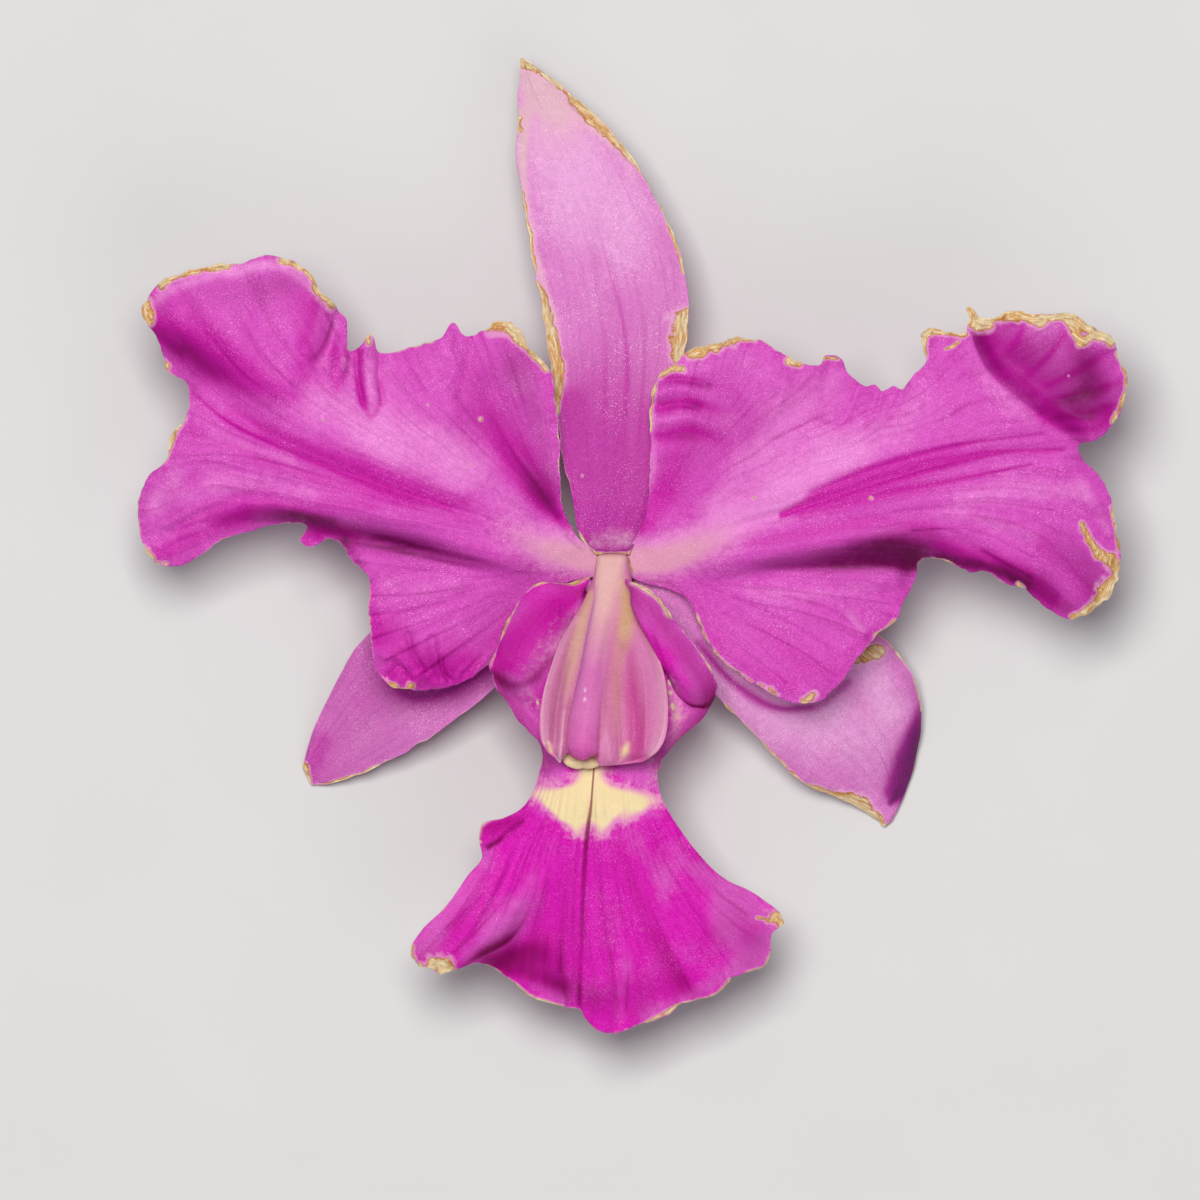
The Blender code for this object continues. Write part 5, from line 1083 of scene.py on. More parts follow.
def sepal(name, pairs, bow, paint, raised, seed):
    """A sepal: straight lines from left to right edge, s from -1 to 1, hollowed by bow times the
    width times s squared, along a smooth midline; v counts the pairs from claw to tip."""
    s, v = np.meshgrid(np.sin(np.linspace(-1, 1, 95) * np.pi / 2), np.linspace(0, len(pairs) - 1, 190),
                       indexing="ij")
    left = through([a for a, b, z in pairs], v)
    right = through([b for a, b, z in pairs], v)
    z = through([[z] for a, b, z in pairs], v)[..., 0]
    width = np.linalg.norm(right - left, axis=-1)
    p = left + (right - left) * ((s + 1) / 2)[..., None]
    run = lengths((left[0] + right[0]) / 2)[None] + 0 * s
    side = np.sign(s)
    out = np.abs(s)
    ends = smooth(v / 1.5) * smooth((len(pairs) - 1 - v) / 0.5)
    push = SEPAL_FRAY * grain(run / 1.2, 3 * side, seed) * smooth((out - 0.7) / 0.3) * ends
    p += (right - left) / np.maximum(width, 0.5)[..., None] * (push * side)[..., None]
    x, y = p[..., 0], p[..., 1]
    z = z + bow * width * (s * s - 0.33) * smooth(v / 3) + ends * strokes(x, y, raised)
    z += ends * (0.05 * grain(s * 9, run / 22, seed + 1) + 0.12 * grain(x / 5, y / 5, seed + 2))
    z += ends * 0.16 * grain(run / 1.6, 5 * side, seed + 3) * smooth((out - 0.75) / 0.25)
    beside_edge = (1 - out) * width / 2
    rim = np.minimum(beside_edge, run[:, -1:] - run + 0.05)
    shares, dried = painted(x, y, paint, seed + 4)
    z = z + 0.6 * ends * crumple(x, y, dried, seed + 6)
    sheet = np.dstack([p, z])
    half = normals(sheet) * tapered(SEPAL_HALF, rim, SEPAL_EDGE_HALF, SEPAL_TAPER)[..., None]
    sheet[..., 2] += np.maximum(SURFACE_GAP - (sheet - np.abs(half))[..., 2], 0)
    thin = np.exp(-beside_edge / 0.09) * smooth((run - 4) / 6)
    thin *= 0.34 + 0.3 * grain(run / 2.4, 9 * side, seed + 5)
    facts = facts_at(s * 0.34, run, rim, shares, np.maximum(dried, thin),
                     cream=strokes(x, y, paint.get("cream", [])), along=run + 60 * (s > 0))
    finish = tissue(name + "_finish", LILAC, LILAC_PALE, LILAC_DEEP, LILAC_DARK, 0.5, 1.7,
                    (SEPAL_BLUSH, SEPAL_CREAM))
    leaf(name, sheet.reshape(-1, 3), half.reshape(-1, 3), grid_tris(*s.shape), facts, finish)


sepal("dorsal_sepal", DORSAL, 0.035, DORSAL_PAINT,
      [([(-3.7, 45.2), (-0.4, 42.4), (2.2, 39.2)], 0.55, 0.6),
       ([(-2.2, 34), (1.2, 21), (0.6, 6)], 0.6, -0.18),
       ([(-7.2, 26), (-5.8, 20), (-5.4, 16)], 0.4, 0.35), ([(6.6, 23), (6.6, 20)], 0.4, -0.25)], 51)
sepal("left_lateral_sepal", LOWER_LEFT, 0.03, LOWER_LEFT_PAINT,
      [([(-28, -20), (-18, -12.6), (-8, -6)], 0.7, -0.15)], 61)
sepal("right_lateral_sepal", LOWER_RIGHT, -0.06, LOWER_RIGHT_PAINT,
      [([(26, -24), (18, -14), (8, -6)], 0.7, -0.15)], 71)

# Lip: the lowest petal, one sheet that wraps the column in two upright ears and then spreads into
# a frilled magenta apron with a cream throat and a dark red line down its middle.
# Rows run across the tube from the left ear's free edge to the right one's.
LIP_ROWS = [
    [(-2.15, -2.4, 18.5), (-2.5, -2.95, 18.3), (-2.75, -3.4, 17.5), (-2.8, -3.95, 16.4),
     (-1.6, -4.3, 14.9), (0.0, -4.4, 14.7), (1.6, -4.3, 14.9), (3.0, -4.0, 16.4),
     (2.6, -3.7, 17.8), (1.7, -3.2, 19.2), (1.3, -2.8, 19.9)],
    [(-4.6, -3.2, 18.4), (-4.4, -3.8, 18.7), (-4.0, -4.7, 18.4), (-3.1, -5.4, 17.6),
     (-2.0, -6.2, 15.2), (0.0, -6.3, 14.9), (2.0, -6.2, 15.2), (3.6, -5.8, 17.2),
     (2.1, -5.0, 19.8), (2.5, -4.2, 20.7), (3.4, -3.6, 20.7)],
    [(-7.3, -3.1, 18.7), (-6.4, -4.6, 19.3), (-5.6, -5.9, 19.2), (-4.4, -7.1, 18.5),
     (-2.6, -8.0, 15.7), (-0.1, -8.1, 15.0), (2.5, -8.0, 15.7), (4.3, -7.8, 18.2),
     (2.9, -6.9, 20.9), (3.7, -5.9, 21.4), (5.2, -5.3, 20.7)],
    [(-9.5, -5.1, 18.8), (-8.3, -6.6, 19.7), (-6.9, -8.2, 19.8), (-5.3, -9.4, 19.1),
     (-3.2, -10.3, 16.4), (-0.3, -10.4, 15.3), (3.0, -10.4, 16.4), (5.2, -10.2, 18.8),
     (4.1, -9.0, 20.9), (5.1, -8.0, 21.3), (6.8, -7.5, 20.6)],
    [(-11.1, -8.7, 18.6), (-9.8, -9.4, 19.6), (-8.3, -10.7, 19.9), (-6.3, -11.9, 19.4),
     (-3.8, -12.6, 17.1), (-0.6, -12.7, 15.9), (3.5, -12.8, 17.0), (5.9, -12.6, 18.8),
     (5.4, -11.3, 20.5), (6.8, -10.3, 21.0), (8.5, -9.6, 20.2)],
    [(-12.1, -11.4, 18.2), (-10.5, -12.1, 18.8), (-8.9, -13.0, 18.9), (-6.8, -14.2, 18.2),
     (-4.2, -14.9, 17.2), (-0.9, -15.0, 16.7), (3.8, -15.0, 17.2), (6.4, -14.9, 18.0),
     (7.2, -13.6, 19.3), (8.7, -13.0, 19.8), (10.0, -12.0, 19.3)],
    [(-11.2, -14.0, 17.2), (-9.6, -14.8, 17.0), (-8.1, -15.7, 17.0), (-6.5, -16.5, 17.3),
     (-4.2, -17.0, 17.5), (-1.2, -17.1, 17.5), (3.6, -17.1, 17.6), (6.1, -16.9, 17.3),
     (7.8, -15.6, 17.6), (9.2, -15.0, 18.0), (10.4, -13.9, 18.1)],
    [(-8.9, -17.4, 17.2), (-7.9, -17.8, 17.3), (-6.9, -18.4, 17.5), (-5.6, -18.9, 17.9),
     (-3.8, -19.1, 18.3), (-1.4, -19.2, 18.5), (2.6, -19.2, 18.4), (4.4, -19.1, 18.0),
     (6.2, -18.3, 17.4), (7.7, -17.6, 17.1), (9.2, -16.6, 17.0)],
    [(-7.2, -19.4, 17.6), (-6.6, -19.8, 17.9), (-6.0, -20.1, 18.3), (-5.0, -20.4, 18.8),
     (-3.6, -20.5, 19.1), (-1.6, -20.6, 19.2), (1.2, -20.6, 19.1), (3.0, -20.6, 18.7),
     (4.2, -20.4, 18.2), (5.0, -20.1, 17.8), (5.8, -19.6, 17.5)],
    [(-7.1, -21.4, 18.2), (-6.4, -21.5, 18.6), (-5.7, -21.6, 19.0), (-4.7, -21.7, 19.4),
     (-3.5, -21.8, 19.7), (-1.7, -21.9, 19.9), (0.4, -21.9, 19.8), (1.8, -21.9, 19.5),
     (2.9, -21.9, 19.1), (3.8, -21.9, 18.7), (4.5, -21.9, 18.3)]]
APRON_LEFT = [(-7.1, -21.4), (-7.5, -23.0), (-8.3, -24.6), (-9.8, -26.4), (-11.3, -26.6),
              (-13.0, -27.2), (-13.8, -28.2), (-12.6, -29.6), (-14.6, -32.6), (-16.6, -35.4),
              (-18.6, -37.3), (-20.1, -39.3)]
APRON_RIGHT = [(4.5, -21.9), (4.7, -23.8), (5.6, -25.8), (7.0, -28.0), (9.2, -30.8),
               (11.4, -32.8), (12.9, -33.4), (15.2, -34.8), (16.3, -35.6)]
APRON_END = [
    (-20.1, -39.3), (-20.1, -40.6), (-19.4, -41.3), (-18.3, -41.6), (-17.1, -42.2),
    (-15.9, -41.9), (-13.8, -41.2), (-12.0, -41.5), (-9.8, -43.2), (-8.2, -44.5), (-6.2, -45.2),
    (-4.4, -45.6), (-3.2, -45.8), (-2.6, -46.8), (-1.6, -47.8), (0.3, -48.2), (2.2, -47.5),
    (4.2, -46.9), (5.8, -46.3), (7.0, -45.3), (8.8, -44.7), (10.6, -44.2), (11.5, -43.4),
    (12.2, -42.4), (13.8, -42.1), (15.3, -41.4), (15.9, -40.0), (16.0, -38.2), (17.2, -37.1),
    (16.9, -36.3), (16.3, -35.6)]
APRON_HEIGHTS = [
    (-1.8, -24, 20.2), (-6, -24.5, 19.4), (3, -24.5, 19.6), (-2.3, -28, 19.6), (-10, -28.5, 17.4),
    (-13.6, -28, 16.0), (6, -28, 18.4), (-2.8, -33, 18.0), (-9, -33, 18.6), (-14, -33, 17.2),
    (4, -33, 18.0), (11, -33.5, 16.4), (-3, -38, 16.2), (-15, -38.5, 17.8), (-19.6, -39.6, 16.8),
    (-17, -42, 16.4), (-8, -41, 14.8), (3, -39, 16.4), (10, -38, 16.8), (16.4, -36.6, 15.4),
    (-5, -45.4, 14.0), (0.3, -48, 14.4), (6, -44.5, 14.2), (11, -42.5, 15.2), (15, -40, 14.8)]
APRON_RIDGES = [
    ([(-1.8, -22), (-2.2, -26), (-2.8, -32), (-3.1, -38), (-3.2, -45)], 0.7, -0.5),
    ([(1.2, -31), (2.0, -38), (1.4, -45), (0.6, -54)], 1.8, 0.6, 0.5),
    ([(-6, -29.5), (-8.6, -33.6), (-11.4, -37.2), (-15, -41.4)], 1.2, 0.45, 0.4),
    ([(1.8, -33), (4.4, -39.5), (8.0, -44.8), (12, -51)], 1.4, -0.6, 0.5)]
APRON_FOLDS = [([(-3.4, -28), (-6.2, -32.8), (-9.2, -37), (-13.2, -41.2), (-16.5, -45), (-20, -50)],
                -1.1, 1.9, 0.5)]
APRON_CREASES = [
    ([(-1.8, -21.6), (-2.1, -25.3), (-2.5, -28), (-2.8, -32), (-3.1, -38.6), (-3.3, -45.6)], 0.22, -0.3),
    ([(-1.2, -22), (-1.3, -26)], 0.5, 0.25), ([(-3.0, -22), (-3.0, -26)], 0.5, 0.25),
    ([(5.4, -30), (8, -34), (12, -37.5)], 0.9, (0, -0.15, -0.2)),
    ([(3.6, -31), (6, -36), (9.4, -41)], 1.0, (0, -0.12, -0.2)),
    ([(8.6, -33), (11.4, -36), (14.6, -38.4)], 0.6, (0, 0.2, 0.25)),
    ([(-5.6, -33), (-6.4, -38), (-6.8, -43)], 1.0, (0, -0.25, -0.3)),
    ([(-12.6, -31.5), (-14.6, -35), (-17.6, -38.4)], 0.7, -0.2),
    ([(-10.6, -31), (-13, -35.4), (-15.6, -39.4)], 0.6, -0.2)]
LIP_PAINT = {
    "pale": [
        ([(-12.6, -30), (-16, -35), (-19, -39.6)], (1.0, 1.6, 1.4), (0.6, 0.8, 0.8)),
        # A painted highlight along the ridge of the apron's left fold.
        ([(-8, -33), (-11, -37.6), (-14, -40.4)], (1.0, 1.8, 1.6), (0.5, 0.9, 0.8)),
        ([(9, -31.6), (13, -35), (15.6, -38), (14.6, -41)], (1.0, 1.8, 2.2, 1.6), (0.7, 0.9, 0.9, 0.9)),
        ([(13, -42), (9, -44), (3.6, -46.6)], 1.1, 0.7),
        ([(-5, -44.8), (-9, -43)], 0.8, 0.5), ([(6, -29.4), (9, -33.4), (11, -37.6)], 1.1, 0.4),
        ([(1.6, -40), (0.6, -46)], 1.0, 0.5),
        ([(3, -30), (5, -33), (5.6, -36.6)], 1.4, (0.3, 0.45, 0.2)),
        ([(-6.4, -29.6), (-7.6, -32.6)], 1.2, 0.3), ([(10.6, -37), (13, -39.4), (13.4, -41.2)], 1.5, 0.5),
        ([(-7, -21.8), (-5.4, -22.6)], 1.6, 0.9), ([(2, -21.8), (4, -23)], 1.6, 0.9),
        ([(-7.4, -25.6), (-5.6, -26)], 0.9, 0.6), ([(2.4, -25.6), (4.8, -26.2)], 0.8, 0.6),
        ([(-10.6, -14.4), (-9, -16.2), (-7.2, -18.4), (-6.6, -20.4)], 1.8, 1.1),
        ([(9.6, -15.6), (7.6, -17.4), (6, -19), (4.6, -20.6)], 1.7, 1.1),
        ([(6.0, -13.4), (6.6, -15.6)], 0.8, 1.0),
        ([(-3.2, -5.6), (-5.4, -8.6), (-7.4, -11.4)], (0.7, 1.3, 1.5), 1.1),
        ([(-3.4, -5), (-4.4, -6.4)], 0.5, 0.3),
        ([(-3.6, -3.6), (-7, -4.2), (-9.8, -7.6), (-11.4, -11.6)], (0.8, 1.8, 1.8, 1.0),
         (0.4, 0.75, 0.6, 0.4)),
        ([(2, -3.6), (5, -7), (8, -11), (9.6, -13.8)], 1.8, (1.0, 1.0, 1.05, 0.8)),
        # A painted highlight on the left ear's lower rim.
        ([(-10.4, -12.6), (-8.6, -13.6)], 0.8, 0.6)],
    "deep": [
        ([(-4.4, -30), (-4.6, -35), (-5, -40)], 1.4, 0.4),
        ([(0.6, -29.6), (2.4, -34), (4.4, -38.6), (7, -43)], 1.1, 0.55),
        ([(-7, -39), (-9.6, -41.4), (-12.4, -41.2)], 1.4, 0.7), ([(-9.6, -27), (-13.2, -28)], 1.0, 0.7),
        ([(-4.0, -3.6), (-7, -5.2), (-9.4, -8.8), (-11.2, -11.4)], (0.8, 1.5, 1.6, 1.3), 0.34),
        ([(1.6, -3.4), (4.6, -7), (7.6, -10.6), (9.8, -13.6)], (0.6, 1.0, 1.1, 1.0), 0.3)],
    # Mostly painted shade: under the apron's left fold, on the ears and along their lower edges, beside
    # the neck and towards the lower margin. The first stroke is the dark line down the middle, and the
    # thinnest ones are veins.
    "dark": [
        ([(-2.4, -26.6), (-2.55, -28.4), (-2.8, -32), (-3.1, -38.6), (-3.3, -45.4)],
         (0.16, 0.24, 0.24, 0.16, 0.12), (0.4, 0.6, 0.5, 0.5, 0.4)),
        ([(-15.4, -41.8), (-12.7, -40.3), (-10.2, -38.9), (-8.4, -36.6)], (0.3, 0.9, 1.0, 0.5),
         (0.4, 0.8, 0.75, 0.25), 1),
        ([(-12.4, -41), (-10, -40.3), (-7.8, -40), (-5.6, -40.8)], (1.1, 1.4, 1.6, 1.4),
         (0.5, 0.66, 0.6, 0.3)),
        ([(-1, -45.6), (1, -46), (3, -45.6)], 1.4, 0.22),
        ([(-11.4, -41.6), (-8, -42.4), (-5, -43.6)], 1.0, 0.3),
        ([(4.0, -38), (5.6, -41.4), (8, -44.6)], 1.0, 0.2),
        ([(-11.8, -12.2), (-9.8, -13.2), (-7.8, -12.6), (-6.2, -10.6)], 0.5, 0.4),
        ([(-11.2, -13.4), (-9.4, -16.6), (-7.4, -19.4), (-6.8, -21.4)], 1.5, 0.55),
        ([(10.4, -14.8), (8.4, -17), (6.4, -19), (4.8, -21)], 1.5, 0.55),
        ([(-4.6, -7.0), (-6.6, -9.4), (-8.0, -11.6)], 1.3, 0.36),
        ([(-4, -4.2), (-8, -7.2), (-10.6, -11)], 1.9, 0.36),
        ([(1.8, -3.6), (5, -7.4), (8.2, -11.6), (9.4, -13.8)], 1.6, 0.36),
        ([(-9, -41.6), (-5, -43.2), (-2.6, -44.4)], 1.8, (0.15, 0.42, 0.46)),
        ([(0.4, -44), (3, -43.4), (6.4, -43.6)], 1.8, 0.32),
        ([(10.6, -37.6), (13.4, -39.4), (14, -41)], 1.8, 0.26),
        ([(-9.0, -26.9), (-12.4, -29.6)], 0.3, 0.5), ([(-10.4, -26.8), (-13.2, -27.8)], 0.8, 0.3),
        ([(-12, -33.6), (-15.6, -37.6), (-18.4, -39.8)], 2.4, (0.1, 0.26, 0.3)),
        ([(9.4, -31.6), (12.6, -35.2), (15, -38.4)], 2.4, (0.2, 0.28, 0.24)),
        ([(4.2, -8.4), (5.3, -11), (6.1, -13.3), (7.4, -14.9), (9.1, -15.3), (10.5, -14.4)], 0.22,
         (0.3, 0.4, 0.5, 0.6, 0.6, 0.5)),
        ([(-13.7, -28.2), (-12.6, -29.4), (-11, -28.8)], 0.35, 0.35),
        ([(-5.6, -27.6), (-9.4, -33), (-14, -38.4), (-17, -41)], 0.16, (0.0, 0.15, 0.35, 0.3)),
        ([(-4.6, -28.6), (-6.6, -33.4), (-8, -38)], 0.15, (0.0, 0.2, 0.25)),
        ([(-4, -29.6), (-4.9, -35), (-5.2, -42)], 0.14, (0.0, 0.15, 0.3)),
        ([(-7, -27.4), (-11.6, -33), (-16.6, -37.6)], 0.14, (0.0, 0.15, 0.3)),
        ([(0.4, -28.6), (3, -34), (6, -40), (8, -44)], 0.15, (0.0, 0.12, 0.2, 0.2)),
        ([(1.6, -27.8), (5.4, -33), (9.8, -38.6), (12, -41.6)], 0.15, (0.0, 0.12, 0.2, 0.2)),
        ([(3.2, -27.2), (8, -32), (13.6, -36.4)], 0.14, (0.0, 0.12, 0.2)),
        ([(-0.8, -29.6), (0.8, -35), (1.6, -41), (1.4, -46)], 0.14, (0.0, 0.15, 0.3, 0.3))],
    "cream": [
        ([(-7.6, -24.2), (-5, -24.6), (-2, -24.8), (1, -24.7), (4.8, -24.9)], (0.9, 1.25, 1.4, 1.25, 0.9),
         (0.7, 1.15, 1.0, 1.1, 0.55)),
        ([(-2.1, -21.0), (-2.2, -25.6)], 1.75, 0.95),
        ([(-4.2, -25.6), (-3.4, -28.0)], (1.2, 0.7), (0.9, 0.5)),
        ([(-0.3, -25.6), (-1.0, -27.8)], (1.1, 0.7), (0.9, 0.5)),
        ([(-6.2, -25.2), (-5.0, -26.4)], 0.7, 0.5), ([(2.8, -25.6), (1.4, -26.6)], 0.7, 0.45),
        ([(-3, -27), (-3.2, -32), (-3.4, -37)], 4.5, (0.13, 0.06, 0.0)),
        ([(-8.6, -13.8), (-7.4, -15.4)], 1.0, 0.16),
        ([(-7.2, -20.6), (-6.8, -22.8)], 1.0, 0.22), ([(4.2, -20.8), (4.2, -22.8)], 1.0, 0.22),
        ([(-8.6, -14.6), (-7.8, -16.8), (-7.0, -18.8)], 1.0, 0.08),
        ([(-5.0, -6.8), (-6.8, -9.4), (-8.4, -11.8)], 1.0, 0.2),
        ([(7.2, -15.8), (6.6, -17.4), (5.8, -19.2)], 0.8, 0.24),
        ([(2.2, -2.9), (3.4, -3.7), (4.6, -4.7), (5.6, -6.2)], 0.4, 1.1),
        ([(6.0, -12.8), (6.4, -16.4)], 0.7, 0.5), ([(5.7, -12.9), (5.75, -13.1)], 0.12, 1.1),
        ([(5.85, -14.0), (5.9, -14.1)], 0.1, 0.9), ([(6.1, -15.2), (6.1, -15.5)], 0.12, 1.1),
        ([(-7.4, -14.8), (-7.42, -15.0)], 0.12, 1.0),
        ([(-3.4, -5.8), (-5.4, -8.8), (-6.8, -11.2)], 0.5, 0.25)],
    "dried": [
        ([(-20.2, -39.6), (-20.1, -40.6), (-19.3, -41.4)], 0.3, 1.3),
        ([(-17.6, -41.2), (-16.8, -41.4)], 0.75, 1.5), ([(-17.2, -42.1), (-16, -41.8)], 0.3, 1.2),
        ([(-10.3, -42.9), (-8, -44.6), (-4.9, -45.6)], 0.18, 1.1),
        ([(3.6, -47.1), (7, -45.3), (10.6, -44.2), (11.8, -42.8)], 0.16, 1.0),
        ([(13.6, -42.1), (15.4, -41.3), (15.9, -40)], 0.14, 0.9),
        ([(16.2, -36.6), (17.1, -37)], 0.6, 1.5), ([(14.6, -36.6), (16, -36.9)], 0.16, 0.9),
        ([(-2, -2.3), (-3.2, -2.9), (-4.5, -3.2), (-5.8, -3.0), (-7.2, -3.1), (-8.6, -4.1)],
         (0.08, 0.12, 0.2, 0.12, 0.1, 0.08), 0.8),
        ([(-9.4, -5), (-11.1, -8.7), (-12.1, -11.4)], 0.1, 0.7),
        ([(2.0, -2.7), (3.2, -3.5), (4.4, -4.4), (5.5, -5.8), (5.8, -6.6)], (0.1, 0.16, 0.2, 0.26, 0.2),
         1.1),
        ([(7, -7.6), (8.5, -9.6), (10, -12)], 0.1, 0.7), ([(-13.8, -28.2), (-13.2, -29)], 0.14, 0.9)]}
LIP_MIDLINE = ([(-1.8, -21.5), (-2.1, -25.3), (-2.5, -28.7), (-2.7, -31.5)], (0.12, 0.13, 0.24, 0.15),
               (1, 1, 1, 0.3))
EAR_FOLDS = [
    ([(5.3, -10.6), (6.2, -13.4), (7.6, -15.2), (9.4, -15.5), (10.8, -14.4)], 0.35,
     (0, -0.6, -0.6, -0.5, 0)),
    ([(5.6, -9.8), (7.0, -12.6), (8.4, -14.2), (9.6, -14.2)], 0.6, (0, 0.3, 0.35, 0))]
LIP_COLUMNS = 217             # points across the lip, and along its tube and its apron
TUBE_ROWS = 96
APRON_ROWS = 132
LIP_HALF = 0.26
HOT_MAGENTA = (0.71, 0.003, 0.45)
HOT_PALE = (0.70, 0.10, 0.53)
HOT_DEEP = (0.56, 0.001, 0.31)
# The dark colour is painted shade under folds and on the ears; it also darkens the veins.
HOT_DARK = (0.18, 0.002, 0.07)
HOT_SPARKLE_TINT = (1.0, 0.16, 0.80)
THROAT_BLUSH = (0.80, 0.30, 0.54)
THROAT_CREAM = (0.90, 0.80, 0.38)
MIDLINE_RED = (0.22, 0.015, 0.04)


def relaxed(p, rounds):
    """Evens out a plan grid between fixed sides (a u,u + c v,v - 2 b u,v = 0), so no lines cross."""
    for _ in range(rounds):
        du = (p[2:, 1:-1] - p[:-2, 1:-1]) / 2
        dv = (p[1:-1, 2:] - p[1:-1, :-2]) / 2
        a = (dv * dv).sum(-1, keepdims=True)
        b = (du * dv).sum(-1, keepdims=True)
        c = (du * du).sum(-1, keepdims=True)
        duv = (p[2:, 2:] - p[2:, :-2] - p[:-2, 2:] + p[:-2, :-2]) / 4
        new = a * (p[2:, 1:-1] + p[:-2, 1:-1]) + c * (p[1:-1, 2:] + p[1:-1, :-2]) - 2 * b * duv
        p[1:-1, 1:-1] += 0.8 * (new / (2 * (a + c) + 1e-9) - p[1:-1, 1:-1])
    return p


def apron_plan(columns, rows):
    """The apron's plan: ruled from neck to end margin, bent to its two sides, evened out on a
    coarse grid and then drawn smoothly through that."""
    s, r = np.meshgrid(np.linspace(0, 1, len(APRON_END)), np.linspace(0, 1, 12), indexing="ij")
    neck = through(LIP_ROWS[-1], s * 10)[..., :2]
    end = through(APRON_END, s * (len(APRON_END) - 1))
    a = r[..., None]
    w = s[..., None]
    p = (1 - a) * neck + a * end
    for side, near in ((APRON_LEFT, 1 - w), (APRON_RIGHT, w)):
        p += (along(side, r) - (1 - a) * np.array(side[0]) - a * np.array(side[-1])) * near ** 2
    p = relaxed(p, 60)
    p = through(p, np.linspace(0, len(APRON_END) - 1, columns))
    return through(p.transpose(1, 0, 2), np.linspace(0, 11, rows)).transpose(1, 0, 2)


# The tube with its ears, through the rows; its free edges are crinkled.
steps = np.linspace(0, 1, LIP_COLUMNS)
v = np.linspace(0, len(LIP_ROWS) - 1, TUBE_ROWS)[:-1]
lines = np.stack([through(row, steps * 10) for row in LIP_ROWS])
tube = through(lines, v).transpose(1, 0, 2)
tube[..., 2] += strokes(tube[..., 0], tube[..., 1], EAR_FOLDS)
tube_free = np.minimum(steps, 1 - steps)[:, None] * 22 + 0 * v[None]
crinkle = np.exp(-tube_free / 0.8) * smooth(v / 1.5)[None]
tube_row, tube_step = np.broadcast_arrays(v[None], 6 * steps[:, None])
tube[..., 2] += crinkle * 0.22 * grain(tube_row * 2.6, tube_step, 89)
tube[..., 0] += crinkle * 0.18 * grain(tube_row * 3.4, tube_step, 90)

# The apron, joined to the tube's last row; its ruffle grows towards the free edge.
apron = apron_plan(LIP_COLUMNS, APRON_ROWS)
s, r = np.meshgrid(steps, np.linspace(0, 1, APRON_ROWS), indexing="ij")
ax, ay = apron[..., 0], apron[..., 1]
neck = through(LIP_ROWS[-1], s * 10)[..., 2]
az = (height(ax, ay, APRON_HEIGHTS, APRON_FOLDS, APRON_RIDGES)
      + strokes(ax, ay, APRON_CREASES) * smooth(r * 6))
az = neck + (az - neck) * smooth(r * 4)
free = np.minimum((1 - r) * 22, np.minimum(s, 1 - s) * (10 + 26 * r))
arc = s * 46 + r * 9
az += smooth(r * 3) * (0.12 * grain(s * 42, r * 1.6, 81) + 0.06 * grain(s * 90, r * 2.5, 82))
az += (smooth(r * 3) * np.exp(-free / 1.4)
       * (0.34 * grain(arc / 1.6, r * 4, 83) + 0.12 * grain(arc / 0.6, r * 9, 84)))
apron_sheet = np.dstack([ax, ay, az])
outward = smooth((r - 0.9) / 0.1) * smooth(np.minimum(s, 1 - s) * 30)
apron_sheet[..., 1] += 0.14 * outward * (grain(s * 40, 0 * s, 85) + 0.5 * grain(s * 90, 0 * s, 86))

# Both in one sheet. The apron's thickness is set upright, so that its two faces can't cross.
sheet = np.concatenate([tube, apron_sheet], axis=1)
x, y = sheet[..., 0], sheet[..., 1]
shares, dried = painted(x, y, LIP_PAINT, 87)
sheet[..., 2] += crumple(x, y, dried, 92)
upright = np.concatenate([np.tile(smooth((v - 6) / 1.5), (LIP_COLUMNS, 1)), 1 + 0 * r], axis=1)[..., None]
rim = np.concatenate([tube_free, free], axis=1)
n = normals(sheet)
n = n * (1 - upright) + upright * np.array([0, 0, 1.0]) / np.maximum(np.abs(n[..., 2:]), 0.5)
half = n * tapered(LIP_HALF, rim)[..., None]
run = np.concatenate([np.tile(v * 2.2, (LIP_COLUMNS, 1)), 20 + r * 24], axis=1)
across = np.tile(steps[:, None] * 1.15, (1, sheet.shape[1]))
edge_dry = np.exp(-rim / 0.10) * (0.32 + 0.32 * grain(across * 18, run / 3, 88)) * smooth((run - 2) / 3)
facts = facts_at(across, run, rim, shares, np.maximum(dried, edge_dry),
                 cream=strokes(x, y, LIP_PAINT["cream"]),
                 along=across * 40 + run * 0.4, midline=strokes(x, y, [LIP_MIDLINE]))
finish = tissue("lip_finish", HOT_MAGENTA, HOT_PALE, HOT_DEEP, HOT_DARK, 1.1, 0.7,
                (THROAT_BLUSH, THROAT_CREAM), 0.5, MIDLINE_RED,
                sparkle_tint=HOT_SPARKLE_TINT, shine=0.05, fade=(0.10, 0.62), clouds=1.5)
leaf("lip", sheet.reshape(-1, 3), half.reshape(-1, 3), grid_tris(*sheet.shape[:2]), facts, finish)

